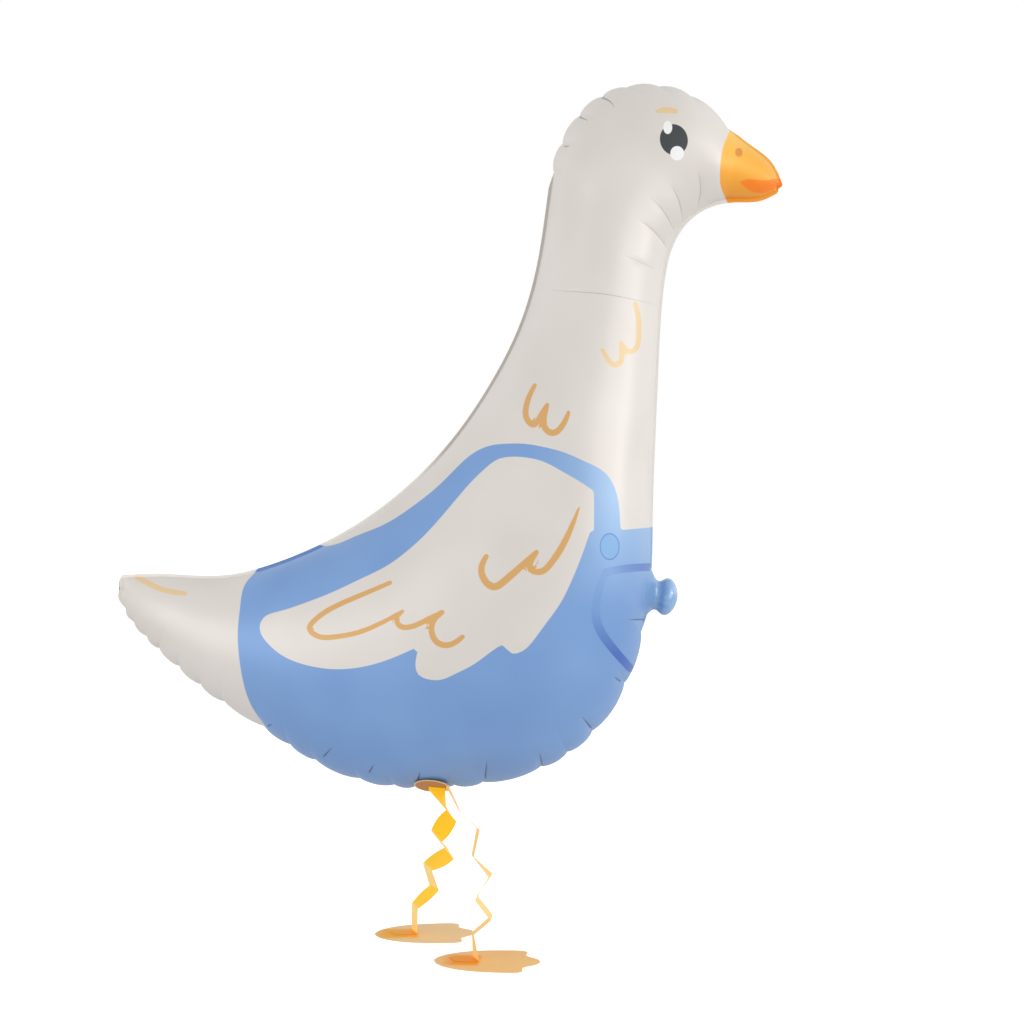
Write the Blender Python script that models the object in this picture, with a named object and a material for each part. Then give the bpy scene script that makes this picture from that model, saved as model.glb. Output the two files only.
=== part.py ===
# Goose foil balloon: a sealed foil envelope on two folded strip legs and two flat webbed card feet.
# Metres, +Z up, +X towards the beak. The seam lies in the plane y = 0 and the near side faces -Y.
# The origin is on the floor, under the middle of the balloon's length.

import math

import bmesh
import bpy
import numpy as np
from mathutils import Matrix, Vector

# Clearance kept between pieces that touch
TOUCH_GAP = 0.0003

# How finely curves are read and drawn
CURVE_POINTS = 3000
SECTION_POINTS = 200
NECK_SIDES = 28
DOME_POINTS = 7
TAB_SIDES = 40
FOOT_SIDE_POINTS = 40
SHARP_EDGE = math.radians(40)

# Envelope
BALLOON_HEIGHT = 0.856
GROUND_CLEARANCE = 0.194
SEAM_WIDTH = 0.005
SEAM_THICKNESS = 0.0006
LARGEST_SEAM_SHARE = 0.2
SCALLOP_DEPTH = 0.0038
SCALLOP_REACH = 0.045
SCALLOP_FULLNESS = 0.7
SCALLOP_INWARD_SHARE = 0.75
SCALLOP_RUN_OUT = 0.020
TAIL_ROUNDING = 0.075
BEAK_ROUNDING = 0.022
STATION_STEP = 0.014
FACES_ACROSS = 12
TAIL_STATIONS = 6
BEAK_STATIONS = 5
LEAST_STATIONS_IN_A_SCALLOP = 3

# Outline of the seam as (forward, up) shares of the balloon's height, from the tail to the beak.
# Forward is counted from the middle of the balloon's length and up from its lowest point.
BACK_LINE_SHARES = [
    (-0.466, 0.303), (-0.411, 0.305), (-0.320, 0.303), (-0.249, 0.320), (-0.156, 0.361),
    (-0.064, 0.426), (0.003, 0.496), (0.057, 0.575), (0.099, 0.659), (0.126, 0.757),
    (0.138, 0.838), (0.149, 0.895), (0.179, 0.953), (0.222, 0.988), (0.270, 0.999),
    (0.320, 0.993), (0.361, 0.972), (0.396, 0.939), (0.429, 0.912), (0.455, 0.891), (0.472, 0.858),
]
BELLY_LINE_SHARES = [
    (-0.470, 0.264), (-0.449, 0.233), (-0.405, 0.188), (-0.332, 0.128), (-0.267, 0.087),
    (-0.199, 0.043), (-0.131, 0.013), (-0.050, 0.001), (0.028, 0.004), (0.107, 0.020),
    (0.173, 0.053), (0.230, 0.112), (0.267, 0.193), (0.284, 0.281), (0.288, 0.395),
    (0.293, 0.530), (0.298, 0.642), (0.305, 0.722), (0.327, 0.790), (0.359, 0.820),
    (0.405, 0.832), (0.440, 0.834), (0.463, 0.844),
]

# Sections across the envelope: share along the back, share along the belly, and how deep the
# section is for its width. The neck is nearly round and the body is flatter.
SECTION_SHARES = [
    (0.000, 0.000, 0.60), (0.044, 0.026, 0.65), (0.095, 0.075, 0.70), (0.144, 0.165, 0.72),
    (0.214, 0.266, 0.70), (0.279, 0.352, 0.67), (0.348, 0.427, 0.645), (0.402, 0.501, 0.65),
    (0.454, 0.575, 0.69), (0.498, 0.653, 0.76), (0.544, 0.750, 0.88), (0.594, 0.827, 0.95),
    (0.634, 0.863, 0.92), (0.676, 0.898, 0.88), (0.711, 0.918, 0.83), (0.759, 0.935, 0.78),
    (0.814, 0.947, 0.80), (0.867, 0.954, 0.84), (0.915, 0.960, 0.85), (0.950, 0.978, 0.80),
    (1.000, 1.000, 0.70),
]

# Where the gathered seam is nipped in between its scallops, as shares along each line
BACK_NIP_SHARES = [0.677, 0.708, 0.742, 0.773, 0.798, 0.831, 0.864, 0.915]
BELLY_NIP_SHARES = [
    0.008, 0.020, 0.037, 0.052, 0.075, 0.099, 0.124, 0.164, 0.192, 0.217, 0.258,
    0.288, 0.306, 0.339, 0.363, 0.415, 0.441, 0.469, 0.519, 0.565,
]

# Filling neck at the chest
NECK_SHARE = 0.598
NECK_DROOP = math.radians(9)
NECK_ROOT_RADIUS = 0.0175
NECK_RADIUS = 0.0195
NECK_LENGTH = 0.013
NECK_ROOT_DEPTH = 0.012
CAP_RADIUS = 0.0232
CAP_LENGTH = 0.019
CAP_LIP = 0.002

# Round tab under the belly, which the legs hang from
TAB_SHARE = 0.3205
TAB_OFFSET = 0.038
TAB_RADIUS = 0.021
TAB_THICKNESS = 0.001
TAB_ROLL = math.radians(5)
TAB_CLEARANCE = 0.0005
TAB_REACH_SLOPE = math.radians(30)

# Folded strip legs
STRIP_WIDTH = 0.020
STRIP_THICKNESS = 0.0005
PANEL_STEPS = 3

# Webbed feet of card, the heel's place on the floor for each
FOOT_LENGTH = 0.126
FOOT_WIDTH = 0.104
FOOT_THICKNESS = 0.001
FOOT_LANDING = 0.050
NEAR_HEEL = (-0.017, -0.060)
NEAR_FOOT_TURN = math.radians(-4.5)
FAR_HEEL = (-0.097, 0.071)
FAR_FOOT_TURN = math.radians(4)

# Folds of each leg between the tab and the foot: up and forward of the landing as shares of the
# leg's height, sideways as a share of the way to the foot, then the direction of the fold's line
NEAR_FOLD_SHARES = [
    (0.866, -0.101, 0.10, (0.17, -0.98, 0.00)),
    (0.759, 0.011, 0.20, (0.19, -0.98, 0.05)),
    (0.599, -0.022, 0.36, (0.13, -0.99, 0.04)),
    (0.487, 0.086, 0.46, (-0.22, -0.97, 0.00)),
    (0.356, 0.000, 0.60, (-0.09, -0.99, -0.07)),
    (0.243, 0.092, 0.72, (-0.07, -0.98, -0.13)),
    (0.152, -0.019, 0.86, (0.12, -0.99, 0.06)),
]
FAR_FOLD_SHARES = [
    (0.833, 0.252, 0.12, (0.64, -0.50, -0.58)),
    (0.698, 0.156, 0.18, (0.60, -0.49, -0.64)),
    (0.577, 0.242, 0.37, (0.43, -0.67, -0.60)),
    (0.484, 0.097, 0.43, (0.57, -0.76, -0.30)),
    (0.326, 0.134, 0.66, (0.59, -0.80, -0.13)),
    (0.202, 0.008, 0.72, (0.41, -0.90, -0.13)),
]

# Glued flaps at both ends of a strip: places on the tab's underside as shares of its radius,
# from the flap's end to its fold, and the length that lies on the foot towards the heel
NEAR_FLAP_SHARES = ((0.83, 0.00), (0.97, 0.00))
FAR_FLAP_SHARES = ((0.31, 0.05), (0.31, 0.60))
NEAR_FOLD_DIRECTION = (0.0, -1.0)
FAR_FOLD_DIRECTION = (-1.0, 0.0)
FOOT_FLAP = 0.028
FOOT_FOLD_DIRECTION = (0.36, -0.93, 0.0)

# Half of the foot's outline from heel to middle toe, as shares of its length and half width
FOOT_OUTLINE_SHARES = [
    (0.000, 0.00), (0.030, 0.26), (0.110, 0.54), (0.260, 0.80), (0.450, 0.95), (0.650, 1.00),
    (0.800, 0.99), (0.852, 0.88), (0.850, 0.68), (0.868, 0.48), (0.925, 0.34), (0.978, 0.18),
    (1.000, 0.00),
]


def clear_scene():
    for obj in list(bpy.data.objects):
        bpy.data.objects.remove(obj, do_unlink=True)


def material(name, color, roughness, metallic=0.0):
    mat = bpy.data.materials.new(name)
    mat.use_nodes = True
    shader = mat.node_tree.nodes["Principled BSDF"]
    shader.inputs["Base Color"].default_value = (*color, 1.0)
    shader.inputs["Roughness"].default_value = roughness
    shader.inputs["Metallic"].default_value = metallic
    return mat


def add_object(name, verts, faces, mat):
    mesh = bpy.data.meshes.new(name)
    mesh.from_pydata([tuple(v) for v in verts], [], faces)
    mesh.materials.append(mat)
    obj = bpy.data.objects.new(name, mesh)
    bpy.context.collection.objects.link(obj)
    mesh.update()
    mesh.shade_smooth()
    mesh.set_sharp_from_angle(angle=SHARP_EDGE)
    return obj


def spline(points, count):
    # Natural cubic spline through a few points, spaced by the chords between them
    p = np.array(points, float)
    t = np.concatenate(([0.0], np.cumsum(np.linalg.norm(np.diff(p, axis=0), axis=1))))
    h = np.diff(t)
    size = len(p)
    system = np.eye(size)
    right = np.zeros_like(p)
    for i in range(1, size - 1):
        system[i, i - 1:i + 2] = (h[i - 1], 2 * (h[i - 1] + h[i]), h[i])
        right[i] = 6 * ((p[i + 1] - p[i]) / h[i] - (p[i] - p[i - 1]) / h[i - 1])
    bend = np.linalg.solve(system, right)
    q = np.linspace(0, t[-1], count)
    i = np.clip(np.searchsorted(t, q) - 1, 0, size - 2)
    a = ((t[i + 1] - q) / h[i])[:, None]
    b = 1 - a
    cubic = (a ** 3 - a) * bend[i] + (b ** 3 - b) * bend[i + 1]
    return a * p[i] + b * p[i + 1] + cubic * h[i][:, None] ** 2 / 6


class SeamLine:
    # One half of the seam's outline, read by its share of length, with its gathered scallops
    def __init__(self, shares, nips, outward):
        curve = spline(shares, CURVE_POINTS) * BALLOON_HEIGHT + np.array([0.0, GROUND_CLEARANCE])
        run = np.concatenate(([0.0], np.cumsum(np.linalg.norm(np.diff(curve, axis=0), axis=1))))
        self.length = run[-1]
        self.share = run / run[-1]
        self.curve = curve
        self.nips = np.array(nips)
        tangent = np.gradient(curve, axis=0)
        tangent /= np.linalg.norm(tangent, axis=1)[:, None]
        self.normal = outward * np.stack([-tangent[:, 1], tangent[:, 0]], axis=1)

    def at(self, share):
        return np.stack([np.interp(share, self.share, self.curve[:, k]) for k in (0, 1)], axis=-1)

    def outward(self, share):
        return np.stack([np.interp(share, self.share, self.normal[:, k]) for k in (0, 1)], axis=-1)

    def scallop(self, share):
        # Each scallop is a low arch between two nips, which lie inside the line; past the last nip
        # the seam comes back to the line and runs smooth
        k = np.clip(np.searchsorted(self.nips, share) - 1, 0, len(self.nips) - 2)
        part = np.clip((share - self.nips[k]) / (self.nips[k + 1] - self.nips[k]), 0, 1)
        arch = (4 * part * (1 - part)) ** SCALLOP_FULLNESS
        past = max(self.nips[0] - share, share - self.nips[-1], 0) * self.length
        inward = SCALLOP_INWARD_SHARE * max(1 - past / SCALLOP_RUN_OUT, 0)
        return SCALLOP_DEPTH * (arch - inward)


class Envelope:
    # Both foil sheets as elliptical sections between the back line and the belly line
    def __init__(self):
        self.back = SeamLine(BACK_LINE_SHARES, BACK_NIP_SHARES, 1)
        self.belly = SeamLine(BELLY_LINE_SHARES, BELLY_NIP_SHARES, -1)
        self.length = (self.back.length + self.belly.length) / 2
        rows = np.array(SECTION_SHARES)
        steps = (np.diff(rows[:, 0]) * self.back.length + np.diff(rows[:, 1]) * self.belly.length) / 2
        self.row_run = np.concatenate(([0.0], np.cumsum(steps)))
        table = spline(np.column_stack([self.row_run, rows]), CURVE_POINTS)
        self.run = table[:, 0]
        self.table = table[:, 1:]

    def section(self, run):
        return [np.interp(run, self.run, self.table[:, k]) for k in range(3)]

    def run_at(self, column, share):
        return np.interp(share, self.table[:, column], self.run)

    def half_depth(self, run):
        back_share, belly_share, ratio = self.section(run)
        width = np.linalg.norm(self.back.at(back_share) - self.belly.at(belly_share), axis=-1)
        tail = np.clip((run - SEAM_WIDTH) / TAIL_ROUNDING, 0, 1)
        beak = np.clip((self.length - run - SEAM_WIDTH) / BEAK_ROUNDING, 0, 1)
        ends = np.sqrt(1 - (1 - tail) ** 2) * np.sqrt(1 - (1 - beak) ** 2)
        return width * ratio / 2 * ends

    def ring(self, run, across):
        # Points across the near sheet: seam edge at the back, inflated foil, seam edge at the belly
        back_share, belly_share, _ = self.section(run)
        back = self.back.at(back_share)
        belly = self.belly.at(belly_share)
        chord = belly - back
        width = np.linalg.norm(chord)
        slant = abs(np.dot(chord / width, self.back.outward(back_share)))
        seam = min(SEAM_WIDTH / slant / width, LARGEST_SEAM_SHARE)
        angle = np.linspace(0, math.pi, across + 1)
        inner = seam + (1 - 2 * seam) * (1 - np.cos(angle)) / 2
        v = np.concatenate(([0.0], inner, [1.0]))
        rise = np.concatenate(([0.0], np.sin(angle), [0.0])) * self.half_depth(run)
        plan = back + chord * v[:, None]
        back_pull = self.back.scallop(back_share) * np.exp(-v * width / SCALLOP_REACH)
        belly_pull = self.belly.scallop(belly_share) * np.exp(-(1 - v) * width / SCALLOP_REACH)
        plan += back_pull[:, None] * self.back.outward(back_share)
        plan += belly_pull[:, None] * self.belly.outward(belly_share)
        return np.column_stack([plan[:, 0], -(SEAM_THICKNESS / 2 + rise), plan[:, 1]])

    def stations(self):
        # Stations stand on every nip, closer at both ends, where the foil closes
        tail_turn = np.linspace(0, math.pi / 2, TAIL_STATIONS)
        beak_turn = np.linspace(0, math.pi / 2, BEAK_STATIONS)
        tail = SEAM_WIDTH + TAIL_ROUNDING * (1 - np.cos(tail_turn))
        beak = self.length - SEAM_WIDTH - BEAK_ROUNDING * (1 - np.cos(beak_turn))
        nips = np.concatenate([self.run_at(0, self.back.nips), self.run_at(1, self.belly.nips)])
        inside = [n for n in nips if tail[-1] < n < beak[-1]]
        marks = sorted([tail[-1], *inside, beak[-1]])
        runs = [0.0, *tail[:-1]]
        for start, stop in zip(marks, marks[1:]):
            count = max(LEAST_STATIONS_IN_A_SCALLOP, round((stop - start) / STATION_STEP))
            runs += list(np.linspace(start, stop, count, endpoint=False))
        return runs + list(beak[::-1]) + [self.length]


def filling_neck(env, mat):
    # A short flared tube of foil that ends in a rounded cap, turned about an axis in the seam plane
    root = env.belly.at(NECK_SHARE)
    turn = np.linspace(0, math.pi / 2, DOME_POINTS)
    dome = [(CAP_RADIUS * math.cos(a), CAP_LENGTH * math.sin(a)) for a in turn]
    start = NECK_LENGTH + CAP_LIP
    profile = [(0.0, -NECK_ROOT_DEPTH), (NECK_ROOT_RADIUS, -NECK_ROOT_DEPTH), (NECK_ROOT_RADIUS, 0.0),
               (NECK_RADIUS, NECK_LENGTH)]
    profile += [(radius, start + along) for radius, along in dome[:-1]] + [(0.0, start + CAP_LENGTH)]
    bm = bmesh.new()
    verts = [bm.verts.new((radius, 0, along)) for radius, along in profile]
    edges = [bm.edges.new(pair) for pair in zip(verts, verts[1:])]
    bmesh.ops.spin(bm, geom=verts + edges, axis=(0, 0, 1), cent=(0, 0, 0), steps=NECK_SIDES,
                   angle=2 * math.pi)
    bmesh.ops.remove_doubles(bm, verts=bm.verts, dist=TOUCH_GAP / 100)
    bmesh.ops.recalc_face_normals(bm, faces=bm.faces)
    mesh = bpy.data.meshes.new("filling_neck_helper")
    bm.to_mesh(mesh)
    bm.free()
    mesh.materials.append(mat)
    obj = bpy.data.objects.new("filling_neck_helper", mesh)
    bpy.context.collection.objects.link(obj)
    obj.location = (root[0], 0, root[1])
    obj.rotation_euler = (0, math.pi / 2 + NECK_DROOP, 0)
    obj.hide_render = True
    obj.display_type = "WIRE"
    return obj


def balloon(env):
    mat = material("pearl_foil", (0.72, 0.68, 0.63), 0.32)
    verts = []
    for run in env.stations():
        near = env.ring(run, FACES_ACROSS)
        far = near[::-1] * np.array([1, -1, 1])
        verts.extend(np.vstack([near, far]))
    size = 2 * (FACES_ACROSS + 3)
    rings = len(verts) // size
    faces = []
    for i in range(rings - 1):
        for j in range(size):
            k = (j + 1) % size
            faces.append((i * size + j, (i + 1) * size + j, (i + 1) * size + k, i * size + k))
    half = size // 2
    for i, flip in ((0, False), (rings - 1, True)):
        for j in range(half - 1):
            quad = [i * size + n for n in (j, j + 1, size - 2 - j, size - 1 - j)]
            faces.append(quad[::-1] if flip else quad)
    obj = add_object("balloon", verts, faces, mat)
    neck = filling_neck(env, mat)
    join = obj.modifiers.new("filling neck", "BOOLEAN")
    join.operation = "UNION"
    join.solver = "EXACT"
    join.object = neck
    return obj


def leg_tab(env):
    # A stiff round disc under the near sheet: as steep as the foil beside the seam, and just clear of it
    edge = env.belly.at(TAB_SHARE)
    near = env.ring(env.run_at(1, TAB_SHARE), SECTION_POINTS)
    belly_side = near[len(near) // 2:]
    reach = TAB_RADIUS * math.cos(TAB_REACH_SLOPE)
    inner, outer = [-(TAB_OFFSET + side * reach) for side in (-1, 1)]
    low, high = np.interp((inner, outer), belly_side[:, 1], belly_side[:, 2])
    pitch = math.atan2(high - low, inner - outer)
    spread = np.linspace(outer, inner, SECTION_POINTS)
    foil = np.interp(spread, belly_side[:, 1], belly_side[:, 2])
    bulge = np.max(high + (low - high) * (spread - outer) / (inner - outer) - foil)
    middle = (low + high) / 2 - bulge - (TAB_CLEARANCE + TAB_THICKNESS) / math.cos(pitch)
    bm = bmesh.new()
    bmesh.ops.create_cone(bm, cap_ends=True, segments=TAB_SIDES, radius1=TAB_RADIUS, radius2=TAB_RADIUS,
                          depth=TAB_THICKNESS)
    mesh = bpy.data.meshes.new("leg_tab")
    bm.to_mesh(mesh)
    bm.free()
    mesh.materials.append(material("tab_card", (0.72, 0.36, 0.12), 0.45))
    obj = bpy.data.objects.new("leg_tab", mesh)
    bpy.context.collection.objects.link(obj)
    place = Matrix.Translation((edge[0], -TAB_OFFSET, middle))
    obj.matrix_world = place @ Matrix.Rotation(TAB_ROLL, 4, "Y") @ Matrix.Rotation(-pitch, 4, "X")
    return obj


def flap_on_tab(tab, places, line):
    # The flap's end, its fold and the fold's direction, just under the tab's lower face
    pose = tab.matrix_world
    below = -(TAB_THICKNESS / 2 + TOUCH_GAP + STRIP_THICKNESS / 2)
    points = [pose @ Vector((a * TAB_RADIUS, b * TAB_RADIUS, below)) for a, b in places]
    return points, pose.to_3x3() @ Vector((*line, 0.0))


def foot_place(heel, turn, along, height):
    # A point over the foot's middle line, some way from its heel
    return Vector((heel[0] + along * math.cos(turn), heel[1] + along * math.sin(turn), height))


def strip_leg(name, folds, flap, heel, turn, mat):
    # A strip folded to and fro: flat panels between folds, each fold with its own direction
    height = FOOT_THICKNESS + TOUCH_GAP + STRIP_THICKNESS / 2
    foot = foot_place(heel, turn, FOOT_LANDING, height)
    flap_end = foot_place(heel, turn, FOOT_LANDING - FOOT_FLAP, height)
    points, line = flap
    top = points[1]
    rise = top.z - foot.z
    rows = [(points[0], line), (top, line)]
    for up, forward, sideways, direction in folds:
        y = top.y + (foot.y - top.y) * sideways
        rows.append((Vector((foot.x + forward * rise, y, foot.z + up * rise)), Vector(direction)))
    rows += [(foot, Vector(FOOT_FOLD_DIRECTION)), (flap_end, Vector(FOOT_FOLD_DIRECTION))]
    centers = [center for center, _ in rows]
    halves = [direction.normalized() * STRIP_WIDTH / 2 for _, direction in rows]
    stations = []
    for i in range(len(centers) - 1):
        for n in range(PANEL_STEPS):
            part = n / PANEL_STEPS
            stations.append((centers[i].lerp(centers[i + 1], part), halves[i].lerp(halves[i + 1], part)))
    stations.append((centers[-1], halves[-1]))
    verts = []
    for i, (center, half) in enumerate(stations):
        before = stations[max(i - 1, 0)][0]
        after = stations[min(i + 1, len(stations) - 1)][0]
        into = (center - before).normalized() if i else (after - center).normalized()
        out = (after - center).normalized() if i < len(stations) - 1 else into
        face = half.cross(into + out).normalized() * STRIP_THICKNESS / 2
        verts += [center + half + face, center - half + face, center - half - face, center + half - face]
    faces = [(0, 1, 2, 3)]
    for i in range(len(stations) - 1):
        for j in range(4):
            k = (j + 1) % 4
            faces.append((4 * i + j, 4 * i + 4 + j, 4 * i + 4 + k, 4 * i + k))
    last = 4 * (len(stations) - 1)
    faces.append((last + 3, last + 2, last + 1, last))
    obj = add_object(name, verts, faces, mat)
    return face_outwards(obj)


def face_outwards(obj):
    bm = bmesh.new()
    bm.from_mesh(obj.data)
    bmesh.ops.recalc_face_normals(bm, faces=bm.faces)
    bm.to_mesh(obj.data)
    bm.free()
    return obj


def webbed_foot(name, heel, turn, mat):
    # Flat card with three rounded toes, drawn as a smooth closed outline and given its thickness
    side = spline(FOOT_OUTLINE_SHARES, FOOT_SIDE_POINTS)
    loop = np.vstack([side, side[-2:0:-1] * np.array([1, -1])])
    outline = loop * np.array([FOOT_LENGTH, FOOT_WIDTH / 2])
    bm = bmesh.new()
    face = bm.faces.new([bm.verts.new((x, y, 0)) for x, y in outline])
    raised = bmesh.ops.extrude_face_region(bm, geom=[face])["geom"]
    top = [v for v in raised if isinstance(v, bmesh.types.BMVert)]
    bmesh.ops.translate(bm, verts=top, vec=(0, 0, FOOT_THICKNESS))
    bmesh.ops.recalc_face_normals(bm, faces=bm.faces)
    mesh = bpy.data.meshes.new(name)
    bm.to_mesh(mesh)
    bm.free()
    mesh.materials.append(mat)
    obj = bpy.data.objects.new(name, mesh)
    bpy.context.collection.objects.link(obj)
    obj.location = (*heel, 0)
    obj.rotation_euler = (0, 0, turn)
    return obj


def main():
    clear_scene()
    env = Envelope()
    balloon(env)
    tab = leg_tab(env)
    strip_pale = material("pale_strip", (0.85, 0.55, 0.22), 0.5)
    strip_gold = material("gold_strip", (0.95, 0.52, 0.04), 0.5)
    card = material("foot_card", (0.80, 0.52, 0.26), 0.5)
    near_flap = flap_on_tab(tab, NEAR_FLAP_SHARES, NEAR_FOLD_DIRECTION)
    far_flap = flap_on_tab(tab, FAR_FLAP_SHARES, FAR_FOLD_DIRECTION)
    strip_leg("near_leg", NEAR_FOLD_SHARES, near_flap, NEAR_HEEL, NEAR_FOOT_TURN, strip_pale)
    strip_leg("far_leg", FAR_FOLD_SHARES, far_flap, FAR_HEEL, FAR_FOOT_TURN, strip_gold)
    webbed_foot("near_foot", NEAR_HEEL, NEAR_FOOT_TURN, card)
    webbed_foot("far_foot", FAR_HEEL, FAR_FOOT_TURN, card)


main()
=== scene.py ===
# Goose foil balloon, the looks: printed satin foil, a glossy filling neck, folded strip legs and card feet.
# Metres, +Z up, +X towards the beak. The seam lies in the plane y = 0 and the near side faces -Y.
import math

import bpy
import numpy as np
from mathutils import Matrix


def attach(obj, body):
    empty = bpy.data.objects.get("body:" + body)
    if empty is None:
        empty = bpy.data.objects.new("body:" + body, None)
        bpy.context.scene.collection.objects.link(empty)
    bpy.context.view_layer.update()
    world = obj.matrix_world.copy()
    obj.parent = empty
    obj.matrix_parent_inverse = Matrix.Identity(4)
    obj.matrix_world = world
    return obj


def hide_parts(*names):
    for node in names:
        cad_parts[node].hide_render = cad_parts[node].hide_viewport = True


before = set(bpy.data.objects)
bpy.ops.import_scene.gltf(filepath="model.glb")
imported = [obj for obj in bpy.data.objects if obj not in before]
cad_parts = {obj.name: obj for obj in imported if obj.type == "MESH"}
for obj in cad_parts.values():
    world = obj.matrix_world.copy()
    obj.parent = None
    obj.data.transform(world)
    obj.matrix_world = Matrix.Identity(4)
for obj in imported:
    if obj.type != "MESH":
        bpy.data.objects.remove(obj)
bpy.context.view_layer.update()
mm = 0.001
print("frame loaded:", ", ".join(sorted(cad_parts)))

# The camera looks square on at the seam plane, and the print is drawn as it is seen from there
view = {"centreX": 0.0753, "centreZ": 0.530, "distance": 2.2, "shownWidth": 1.2445, "sensor": 36.0}


# Helpers for materials

def linear(code):
    # An sRGB hex colour as linear red, green, blue and alpha
    parts = [int(code[i:i + 2], 16) / 255 for i in (1, 3, 5)]
    return [c / 12.92 if c <= 0.04045 else ((c + 0.055) / 1.055) ** 2.4 for c in parts] + [1.0]


def setInputs(tree, node, values):
    # Each input gets a link from another node's output, or a plain value
    for name, value in values.items():
        if isinstance(value, bpy.types.NodeSocket):
            tree.links.new(value, node.inputs[name])
        else:
            node.inputs[name].default_value = value


def addNode(tree, kind, sockets=None, **settings):
    # One node with its settings and its inputs
    made = tree.nodes.new(kind)
    for name, value in settings.items():
        setattr(made, name, value)
    setInputs(tree, made, sockets or {})
    return made


def startMaterial(name):
    # A new material with its node tree and its main shader
    made = bpy.data.materials.new(name)
    made.use_nodes = True
    tree = made.node_tree
    return made, tree, tree.nodes["Principled BSDF"]


def attribute(tree, name, output="Fac"):
    # A number or a vector that addField has put into the mesh
    return addNode(tree, "ShaderNodeAttribute", attribute_name=name).outputs[output]


def placeOn(tree):
    # The point's place in metres
    return addNode(tree, "ShaderNodeTexCoord").outputs["Object"]


def partsOf(tree, vector):
    # A vector's X, Y and Z
    return addNode(tree, "ShaderNodeSeparateXYZ", {0: vector}).outputs


def seenByCamera(tree):
    # 1 for what the camera sees itself, 0 for light on its way
    return addNode(tree, "ShaderNodeLightPath").outputs["Is Camera Ray"]


def maths(tree, operation, first, second=0.0):
    # One sum, product or other operation on two numbers
    return addNode(tree, "ShaderNodeMath", {0: first, 1: second}, operation=operation).outputs[0]


def product(tree, value, *others):
    # All the values multiplied together
    for other in others:
        value = maths(tree, "MULTIPLY", value, other)
    return value


def below(tree, value, edge, softness):
    # 1 where the value is under the edge, 0 over it, with a soft step between
    return ramp(tree, value, edge - softness, edge + softness, 1.0, 0.0, "SMOOTHSTEP")


def blendColour(tree, share, first, second):
    # The first colour where the share is 0, the second where it is 1; a plain colour comes as its hex code
    first, second = (linear(colour) if isinstance(colour, str) else colour for colour in (first, second))
    sockets = {0: share, 6: first, 7: second}
    return addNode(tree, "ShaderNodeMix", sockets, data_type="RGBA").outputs[2]


def noiseOn(tree, place, size, **sockets):
    # Soft noise from 0 to 1 with spots of about the given size in mm
    sockets.update({"Vector": place, "Scale": 1 / (size * mm)})
    return addNode(tree, "ShaderNodeTexNoise", sockets).outputs["Fac"]


def ramp(tree, value, start, stop, low=0.0, high=1.0, shape="LINEAR"):
    # Low up to the start, high from the stop on, and even or eased between them
    sockets = {"Value": value, "From Min": start, "From Max": stop, "To Min": low, "To Max": high}
    return addNode(tree, "ShaderNodeMapRange", sockets, interpolation_type=shape).outputs[0]


def bumpOf(tree, height, strength, depth):
    # Bumps from a height of 0 to 1 that stands for so many mm
    sockets = {"Height": height, "Strength": strength, "Distance": depth * mm}
    return addNode(tree, "ShaderNodeBump", sockets).outputs[0]


# Helpers for shapes

def smoothLine(points, count):
    # Natural cubic spline through a few points, spaced by the chords between them
    p = np.array(points, float)
    t = np.concatenate(([0.0], np.cumsum(np.linalg.norm(np.diff(p, axis=0), axis=1))))
    h = np.diff(t)
    system = np.eye(len(p))
    right = np.zeros_like(p)
    for i in range(1, len(p) - 1):
        system[i, i - 1:i + 2] = (h[i - 1], 2 * (h[i - 1] + h[i]), h[i])
        right[i] = 6 * ((p[i + 1] - p[i]) / h[i] - (p[i] - p[i - 1]) / h[i - 1])
    bend = np.linalg.solve(system, right)
    q = np.linspace(0, t[-1], count)
    i = np.clip(np.searchsorted(t, q) - 1, 0, len(p) - 2)
    a = ((t[i + 1] - q) / h[i])[:, None]
    b = 1 - a
    cubic = (a ** 3 - a) * bend[i] + (b ** 3 - b) * bend[i + 1]
    return a * p[i] + b * p[i + 1] + cubic * h[i][:, None] ** 2 / 6


def addObject(name, data):
    # A new object in the scene
    made = bpy.data.objects.new(name, data)
    bpy.context.scene.collection.objects.link(made)
    return made


def makePiece(name, points, faces, material, sharpAngle=50):
    # A mesh from points and faces, shaded smooth but for edges past the sharp angle
    mesh = bpy.data.meshes.new(name)
    mesh.from_pydata(points.reshape(-1, 3).tolist(), [], faces)
    mesh.materials.append(material)
    mesh.shade_smooth()
    mesh.set_sharp_from_angle(angle=math.radians(sharpAngle))
    return addObject(name, mesh)


def addField(piece, name, values):
    # Puts one number, or one vector, for each point into the mesh for its material to read
    flat = np.ascontiguousarray(values, np.float32)
    kind, key = ("FLOAT_VECTOR", "vector") if flat.ndim == 2 else ("FLOAT", "value")
    piece.data.attributes.new(name, kind, "POINT").data.foreach_set(key, flat.ravel())


def tubeFaces(rows, columns):
    # Quads between rows of points that are each joined end to start, then a flat face on the first row
    i, j = np.meshgrid(np.arange(rows - 1), np.arange(columns), indexing="ij")
    k = (j + 1) % columns
    quads = np.stack([i * columns + j, (i + 1) * columns + j, (i + 1) * columns + k, i * columns + k], -1)
    return [*quads.reshape(-1, 4).tolist(), list(range(columns))]


def solidFaces(rows, columns):
    # The same with a flat face on the last row too
    return [*tubeFaces(rows, columns), list(range(rows * columns - 1, (rows - 1) * columns - 1, -1))]


# The envelope's form, as in the solid: shares of the balloon's height, forward and up

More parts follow.
